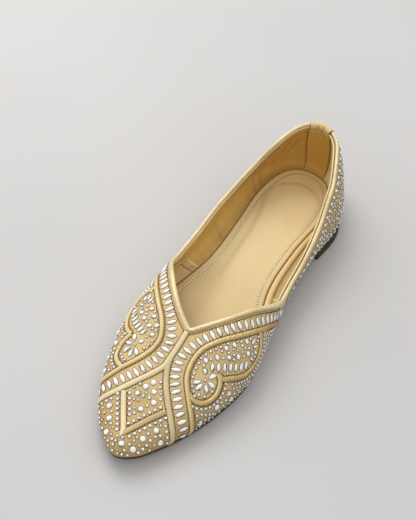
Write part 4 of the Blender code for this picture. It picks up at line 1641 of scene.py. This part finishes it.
def build_lining():
    columns, rows = 420, 90
    shares = np.linspace(0, 1, columns)
    down = np.linspace(0, 1, rows)
    for side, name, material in ((1, "lining_right", LINING_LIT_COPY), (-1, "lining_left", LINING)):
        points, tone = lining_and_tone(side, shares[:, None], down[None])
        faces = grid_faces(columns, rows)
        add_mesh(name, points.reshape(-1, 3), faces, material, merge=2e-5, tone=tone)


def build_vamp_lining(dashes):
    """The vamp's own lining, lapped over the quarter lining: an edge, pleats and a seam ahead of it."""
    columns, rows = 90, 50
    end = float(share_at_station(0.200))
    down = np.linspace(0.06, 1, rows)
    k = np.linspace(0, 1, columns) ** 1.6
    for side in SIDES:
        start = share_at_station(through(VAMP_LINING[side], 1, down))
        shares = start[None] + (end - start[None]) * k[:, None]
        ahead = (shares - start[None]) * HALF_OUTLINE
        lap = 0.60 + 0.45 * bell(ahead - 0.4, 0.4)
        lap = lap - 0.45 * bell(ahead - VAMP_SEAM, 0.45)
        within = np.exp(-(((ahead - 0.5 * VAMP_SEAM) / (0.42 * VAMP_SEAM)) ** 4))
        pleats = within * np.abs(np.sin(np.pi * down[None] * 5.5 + 0.18 * ahead)) ** 6
        lap = lap - 0.18 * pleats
        # Painted shade in the seam and the pleats, and a painted highlight along the flap's edge
        tone = 0.75 * bell(ahead - VAMP_SEAM, 0.5) + 0.4 * pleats
        tone = tone - 0.9 * bell(ahead - 0.5, 0.6)
        lap = np.where(ahead < 0.02, 0.15, lap)
        flap = lining_at(side, shares, down[None], lap * MM).reshape(-1, 3)
        add_mesh("vamp_lining_right" if side > 0 else "vamp_lining_left", flap, grid_faces(columns, rows),
                 LINING_LIT_COPY if side > 0 else FLAP, tone=tone)
        seam_share = start + VAMP_SEAM / HALF_OUTLINE
        seam = lining_at(side, seam_share, down, 0.35 * MM)
        seam = seam[down > 0.2]
        inward = np.tile([-float(side), 0.0, 0.3], (len(seam), 1))
        stitch_line(dashes, seam, inward, 0.0, *LINING_STITCH)


# ---------------------------------------------------------------- heel strip and tab

# Edges of the strip, as shares to -X and to +X: millimetres below the topline, share, share
STRIP = ((-8.0, 0.041, 0.033), (0.0, 0.044, 0.033), (8.0, 0.045, 0.030), (40.0, 0.024, 0.036))
TAB_CENTRE = 1.80 * MM
TAB_HALF = 2.45 * MM
TAB_TOP = 2.30 * MM
# Dips in the folded tab: place across, from -1 to 1, width, depth in millimetres
TAB_DIPS = ((-0.30, 0.15, 0.75), (0.30, 0.14, 0.95), (-0.82, 0.10, 0.25), (0.78, 0.12, 0.3))


def strip_share(across, below):
    """Signed share of a place across the strip, at a distance below the topline."""
    left = -through(STRIP, 1, below / MM)
    right = through(STRIP, 2, below / MM)
    return left + (right - left) * (across + 1) / 2


def strip_point(across, kind, value):
    """A point of the strip: outside below the topline, over the fold, or down the lining."""
    if kind == "inside":
        shares = strip_share(across, value * 40 * MM)
    else:
        shares = strip_share(across, np.full_like(across, -8 * MM if kind == "outside" else 0.0))
    points = np.zeros((len(across), 3))
    for side in SIDES:
        pick = shares >= 0 if side > 0 else shares < 0
        share = np.abs(shares[pick])
        a = across[pick]
        dip = sum(deep * bell(a - at, width) for at, width, deep in TAB_DIPS) * MM
        if kind == "inside":
            fade = bell(value * 40 - 2.0, 4.5)
            soft = 0.16 * np.sin(a * 4.2 + 0.6) * MM * clamped(value * 4)
            extra = 0.85 * MM - dip * fade - soft
            points[pick] = lining_at(side, share, np.full(len(share), 0.03 + 0.97 * value), extra)
            continue
        top = edge_up(side, share)
        if kind == "outside":
            turns = turn_at_up(side, share, top - value[0])
            face, normals = on_skin(side, share, turns)
            points[pick] = face + normals * value[1]
            continue
        turns = turn_at_up(side, share, top)
        edge, normals = on_skin(side, share, turns)
        upward = unit(edge - skin(side, share, turns - 1.0))
        angle = math.radians(value)
        rise = TAB_TOP * math.sin(angle) - dip * 0.55 * max(-math.cos(angle), 0.0) * math.sin(angle)
        out = TAB_HALF * math.cos(angle) - TAB_CENTRE + dip * max(-math.cos(angle), 0.0) ** 0.5
        points[pick] = edge + upward * np.reshape(rise, (-1, 1)) + normals * np.reshape(out, (-1, 1))
    return points


def build_tab(dark, pale):
    """The heel strip: from outside the topline over the fold and down the lining to the sock."""
    across = np.linspace(-1, 1, 61)
    rows = [strip_point(across, "outside", (below * MM, out * MM))
            for below, out in ((7.0, 0.50), (5.6, 0.52), (4.2, 0.56), (3.0, 0.60), (1.8, 0.64), (0.8, 0.66))]
    rows += [strip_point(across, "fold", degrees) for degrees in range(0, 181, 12)]
    rows += [strip_point(across, "inside", value) for value in np.linspace(0, 1, 48) ** 1.25]
    grid = np.array(rows).transpose(1, 0, 2)
    tab = add_mesh("heel_tab_leather", grid.reshape(-1, 3), grid_faces(len(across), grid.shape[1]),
                   TAB)
    thicken(tab, 0.6 * MM)
    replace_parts(tab, "heel_tab")
    inward = np.array([0.0, 1.0, 0.15])
    down = np.linspace(0.22, 0.92, 40)
    for gathered, spots, lift, stitch in (
        (dark, [(-0.97, value) for value in down], 0.2, STRIP_STITCH),
        (dark, [(0.97, value) for value in down], 0.2, STRIP_STITCH),
        (pale, [(a, 0.20) for a in np.linspace(-0.9, 0.9, 30)], 0.3, CROSS_STITCH),
    ):
        row = np.array([strip_point(np.array([a]), "inside", value)[0] for a, value in spots])
        stitch_line(gathered, row + inward * lift * MM, np.tile(inward, (len(row), 1)), 0.0, *stitch)


# ---------------------------------------------------------------- sock, sole and heel


def half_round(steps):
    """Shares of half an outline, closer together at its back and toe."""
    even = np.arange(steps + 1)
    return 0.5 * ((1 - np.cos(np.pi * even / steps)) / 2) + 0.5 * even / steps


def sock_ring(grow, steps=170):
    """A ring between the sock's edge, at 0, and the foot of its border, at 1."""
    shares = half_round(steps)
    ring = closed_ring(along(SOCK[1], shares), along(SOCK[-1], shares))
    foot = closed_ring(border_foot(1, shares), border_foot(-1, shares))
    return ring + (foot - ring) * grow


def build_sock():
    """The padded sock: a pillow inside a stitched margin, with a rolled border round it."""
    edge = sock_ring(0.0)
    count = len(edge)
    spine_x = (edge[:, 0] + np.concatenate([edge[:1], edge[:0:-1]])[:, 0]) / 2
    spine = np.column_stack([spine_x, np.clip(edge[:, 1], SOCK_BACK + 0.014, SOCK_FRONT - 0.024)])
    grids, tones = [], []
    for inwards in np.linspace(0, 1, 56) ** 1.15 * 0.985:
        flat = edge + (spine - edge) * inwards
        distance = np.min(np.linalg.norm(flat[:, None] - edge[None], axis=2), axis=1)
        height = edge_height(flat[:, 1]) + SOCK_RISE + sock_height(flat, distance)
        grids.append(np.column_stack([flat, height]))
        tones.append(sock_tone(flat, distance))
    border = []
    for grow, rise in (
        (1.0, 0.0002), (0.97, 0.0004), (1.0, 0.0009), (0.97, 0.0015), (0.88, 0.0021), (0.74, 0.00255),
        (0.56, 0.0028), (0.38, 0.00285), (0.24, 0.0028), (0.13, 0.0025), (0.06, 0.0019), (0.02, 0.0011),
    ):
        ring = sock_ring(grow)
        border.append(np.column_stack([ring, edge_height(ring[:, 1]) + rise]))
    tones = [np.full(count, 0.20)] * len(border) + tones
    sock = loft("sock", border + grids, SOCKING, np.concatenate(tones))
    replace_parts(sock, "footbed")


STITCH_INSET = 4.0  # of the sock's stitching from its edge, in millimetres
# Soft channel pressed into the sock: x, station
CHANNEL = (
    (-10.0, 118.0), (-10.5, 103.0), (-11.0, 91.0), (-11.5, 76.0), (-13.0, 63.0), (-15.5, 52.0),
    (-17.0, 42.0), (-15.5, 33.0), (-10.5, 26.0), (-2.0, 21.5), (7.5, 22.0), (15.0, 27.0), (18.5, 36.0),
    (18.5, 46.0), (17.0, 58.0),
)


def channel(flat):
    """How deep in the channel each place is, from 0 to 1."""
    line = spline(CHANNEL, 12) * MM
    along_it = np.linspace(0, 1, len(line))
    gap = np.linalg.norm(flat[:, None] - line[None], axis=2)
    nearest = gap.argmin(1)
    share = np.sin(np.pi * (0.06 + 0.88 * along_it[nearest])) ** 0.6
    return share * bell(gap.min(1), 1.7 * MM)


def sock_height(flat, distance):
    """Relief of the sock's top: rounded edge, stitched margin, channel and pillow."""
    d = distance / MM
    relief = -2.0 * np.exp(-((d / 0.22) ** 1.3)) - 0.14 * bell(d, 0.8)
    relief -= 0.22 * bell(d - STITCH_INSET, 0.55)
    relief += 0.18 * bell(d - STITCH_INSET / 2 - 0.2, 1.3)
    relief -= 0.38 * channel(flat)
    relief += 0.35 * (1 - bell(np.maximum(d - 9, 0), 6))
    return relief * MM


def sock_tone(flat, distance):
    """Painted shade: darker along the edge and the stitched groove, in the channel, down the -X side, towards
    the front and under the vamp.
    """
    d = distance / MM
    station = flat[:, 1] / MM
    left = 0.5 - 0.5 * np.tanh((flat[:, 0] / MM + 12.0 - 0.10 * (station - 80.0)) / 5.0)
    tone = 0.36 * channel(flat) + 0.24 * left * clamped(d / 4) * clamped((station - 35.0) / 60.0)
    tone += 0.42 * clamped((station - 30.0) / 80.0)
    tone += 0.16 * bell(d - STITCH_INSET, 0.8) + 0.5 * bell(d, 0.7)
    under_vamp = 0.20 * clamped((station - 140.0) / 40.0)
    tone += under_vamp + 0.3 * left * clamped((station - 105.0) / 20.0)
    return clamped(tone)


def sock_surface_line(inset):
    """Points along the sock at an even inset from its edge, with normals up."""
    edge = sock_ring(0.0, 400)
    tangent = unit(np.roll(edge, -1, 0) - np.roll(edge, 1, 0))
    inward = np.stack([-tangent[:, 1], tangent[:, 0]], axis=1)
    flat = edge + inward * inset * MM
    distance = np.full(len(flat), inset * MM)
    height = edge_height(flat[:, 1]) + SOCK_RISE + sock_height(flat, distance)
    return np.column_stack([flat, height]), np.tile([0.0, 0.0, 1.0], (len(flat), 1))


def build_sock_stitching():
    line, normals = sock_surface_line(STITCH_INSET)
    dashes, holes = Joined(), Joined()
    placed, carried, _ = resample(line, normals, 2.0 * MM, closed=True)
    tangent, side, up = frames_along(placed, carried, closed=True)
    for i in range(len(placed)):
        axes = np.stack([tangent[i], side[i], up[i]])
        # Painted shade: the dark needle holes, larger in the shaded -X heel part
        shaded = placed[i][0] < -0.004 and placed[i][1] < 0.060
        size, hole = (0.85, 1.15) if shaded else (1.1, 0.55)
        dashes.add(CAPSULE, placed[i] + up[i] * 0.30 * MM, axes, np.array([1.40, 1.05, 0.8]) * MM * size)
        middle = placed[i] + tangent[i] * 1.0 * MM
        holes.add(CAPSULE, middle, axes, np.array([0.75, 0.60, 0.36]) * MM * hole)
    dashes.build("sock_stitching", PALE_THREAD, "pale_thread", smooth=True)
    holes.build("sock_needle_holes", HOLES, "dark_thread", smooth=True)


def outline_ring(grow):
    """A ring round the feather edge, grown outwards."""
    shares = half_round(160)
    ring = closed_ring(along(FEATHER[1], shares), along(FEATHER[-1], shares))
    tangent = unit(np.roll(ring, -1, 0) - np.roll(ring, 1, 0))
    return ring + grow * np.stack([tangent[:, 1], -tangent[:, 0]], axis=1)


def loft(name, rings, material, tone=None):
    """A closed body through a stack of rings, with a cap of strips at both ends."""
    count = len(rings[0])
    half = count // 2
    faces = []
    for level in range(len(rings) - 1):
        i = np.arange(count)
        a, b = level * count + i, level * count + (i + 1) % count
        faces.extend(np.stack([a, b, b + count, a + count], axis=1).tolist())
    for start in (0, (len(rings) - 1) * count):
        for i in range(half):
            strip = [start + i, start + i + 1, start + (count - i - 1) % count, start + (count - i) % count]
            faces.append(tuple(dict.fromkeys(strip)))
    return add_mesh(name, np.vstack(rings), faces, material, tone=tone)


def build_outsole():
    rings = []
    lip = SOLE_LIP + 0.0004
    for grow, share in ((-0.0016, 0.0), (-0.0004, 0.0), (0.0002, 0.12), (lip, 0.35), (lip, 0.75),
                        (lip - 0.0002, 0.93), (0.0, 1.0), (-0.0020, 1.0)):
        ring = outline_ring(grow)
        low = through(TREAD, 1, ring[:, 1])
        high = edge_height(ring[:, 1]) - GAP
        rings.append(np.column_stack([ring, low + (high - low) * share]))
    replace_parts(loft("outsole_leather", rings, SOLE), "outsole")


def build_heel():
    share = float(share_at_station(BREAST_STATION))
    halves = {side: along(FEATHER[side], np.linspace(0, share, 90)) for side in SIDES}
    rings = []
    lifts = ((-0.0012, 0.0), (0.0006, 0.0), (0.0014, 0.09), (0.0017, 0.2), (0.0016, 0.30), (0.0009, 0.325),
             (0.0015, 0.35), (0.0012, 0.62), (0.0006, 0.64), (0.0010, 0.66), (0.0008, 0.97), (-0.0012, 1.0))
    for grow, level in lifts:
        right, left = (heel_half(halves[side], SOLE_LIP + grow, side) for side in SIDES)
        ring = np.vstack([right, left[:0:-1]])
        top = through(TREAD, 1, ring[:, 1]) - GAP
        rings.append(np.column_stack([ring, top * level]))
    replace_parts(loft("heel_lifts", rings, SOLE), "heel_block")


def heel_half(points, grow, side):
    """Half of a lift's outline, grown outwards, with a straight breast."""
    tangent = np.gradient(points, axis=0)
    tangent[0] = (side, 0.0)
    tangent[-1] = (0.0, 1.0)
    tangent = unit(tangent)
    normal = np.stack([tangent[:, 1], -tangent[:, 0]], axis=1) * side
    grown = points + grow * normal
    grown[-1, 1] = points[-1, 1] + min(grow, 0.0)
    return grown


# ---------------------------------------------------------------- stage, lights and camera


def build_stage():
    mesh = bpy.data.meshes.new("floor")
    mesh.from_pydata([(-3, -3, 0), (3, -3, 0), (3, 3, 0), (-3, 3, 0)], [], [(0, 1, 2, 3)])
    material, tree, shader, where = start_material("floor_matte")
    tone = noise(tree, where, 3.0, 2.0)
    grey = ramp(tree, tone, [(0.3, (0.57, 0.56, 0.555)), (0.7, (0.62, 0.61, 0.605))])
    feed(tree, shader, {"Base Color": grey, "Roughness": 0.7})
    mesh.materials.append(material)
    floor = bpy.data.objects.new("floor", mesh)
    bpy.context.scene.collection.objects.link(floor)


def area_light(name, place, aim, size, energy, colour):
    light = bpy.data.lights.new(name, "AREA")
    light.shape = "RECTANGLE"
    light.size, light.size_y = size
    light.energy = energy
    light.color = colour
    lamp = bpy.data.objects.new(name, light)
    lamp.location = place
    lamp.rotation_mode = "QUATERNION"
    lamp.rotation_quaternion = (Vector(aim) - Vector(place)).to_track_quat("-Z", "Y")
    bpy.context.scene.collection.objects.link(lamp)


GLOW_FROM = (-0.35, 0.15, 0.92)  # the brightest part of the surroundings


def build_lights():
    world = bpy.data.worlds.new("studio")
    world.use_nodes = True
    tree = world.node_tree
    background = tree.nodes["Background"]
    direction = node(tree, "ShaderNodeTexCoord").outputs["Generated"]
    toward = node(tree, "ShaderNodeVectorMath", {0: direction, 1: GLOW_FROM}, operation="DOT_PRODUCT")
    glow = ramp(tree, levels(tree, toward.outputs["Value"], -1.0, 1.0), [
        (0.20, (0.34, 0.34, 0.35)), (0.55, (0.66, 0.66, 0.665)), (0.80, (0.88, 0.88, 0.88)),
        (1.0, (1.0, 0.995, 0.985)),
    ])
    feed(tree, background, {"Color": glow, "Strength": 0.90})
    bpy.context.scene.world = world
    area_light("key", (-0.58, 0.40, 0.92), (0, 0, 0), (0.70, 0.70), 6.0, (1.0, 0.985, 0.96))


CAMERA_AZIMUTH = 22.3
CAMERA_ELEVATION = 50.8
CAMERA_ROLL = 9.3
CAMERA_DISTANCE = 0.537
CAMERA_LENS = 60.7
CAMERA_TARGET = (-0.0208, 0.0092, 0.015)


def build_camera():
    az, el, roll = (math.radians(a) for a in (CAMERA_AZIMUTH, CAMERA_ELEVATION, CAMERA_ROLL))
    back = Vector((math.sin(az) * math.cos(el), -math.cos(az) * math.cos(el), math.sin(el)))
    level = Vector((0, 0, 1)).cross(back).normalized()
    upright = back.cross(level)
    right = math.cos(roll) * level + math.sin(roll) * upright
    up = -math.sin(roll) * level + math.cos(roll) * upright
    data = bpy.data.cameras.new("camera")
    data.lens = CAMERA_LENS
    data.sensor_width = 36.0
    data.clip_start = 0.01
    data.clip_end = 20.0
    camera = bpy.data.objects.new("camera", data)
    rotation = Matrix((right, up, back)).transposed().to_4x4()
    camera.matrix_world = Matrix.Translation(Vector(CAMERA_TARGET) + back * CAMERA_DISTANCE) @ rotation
    bpy.context.scene.collection.objects.link(camera)
    bpy.context.scene.camera = camera


build_camera()
build_lights()
build_stage()
build_upper()
rib_lines = build_ribs()
build_stones(rib_lines)
dark_dashes = build_piping()
build_bead()
build_lining()
build_vamp_lining(dark_dashes)
build_sock()
build_sock_stitching()
build_outsole()
build_heel()
pale_dashes = Joined()
build_tab(dark_dashes, pale_dashes)
dark_dashes.build("binding_stitching", DARK_THREAD, "dark_thread", smooth=True)
pale_dashes.build("tab_stitching", PALE_THREAD, "pale_thread", smooth=True)
bpy.context.scene.view_settings.view_transform = "Standard"
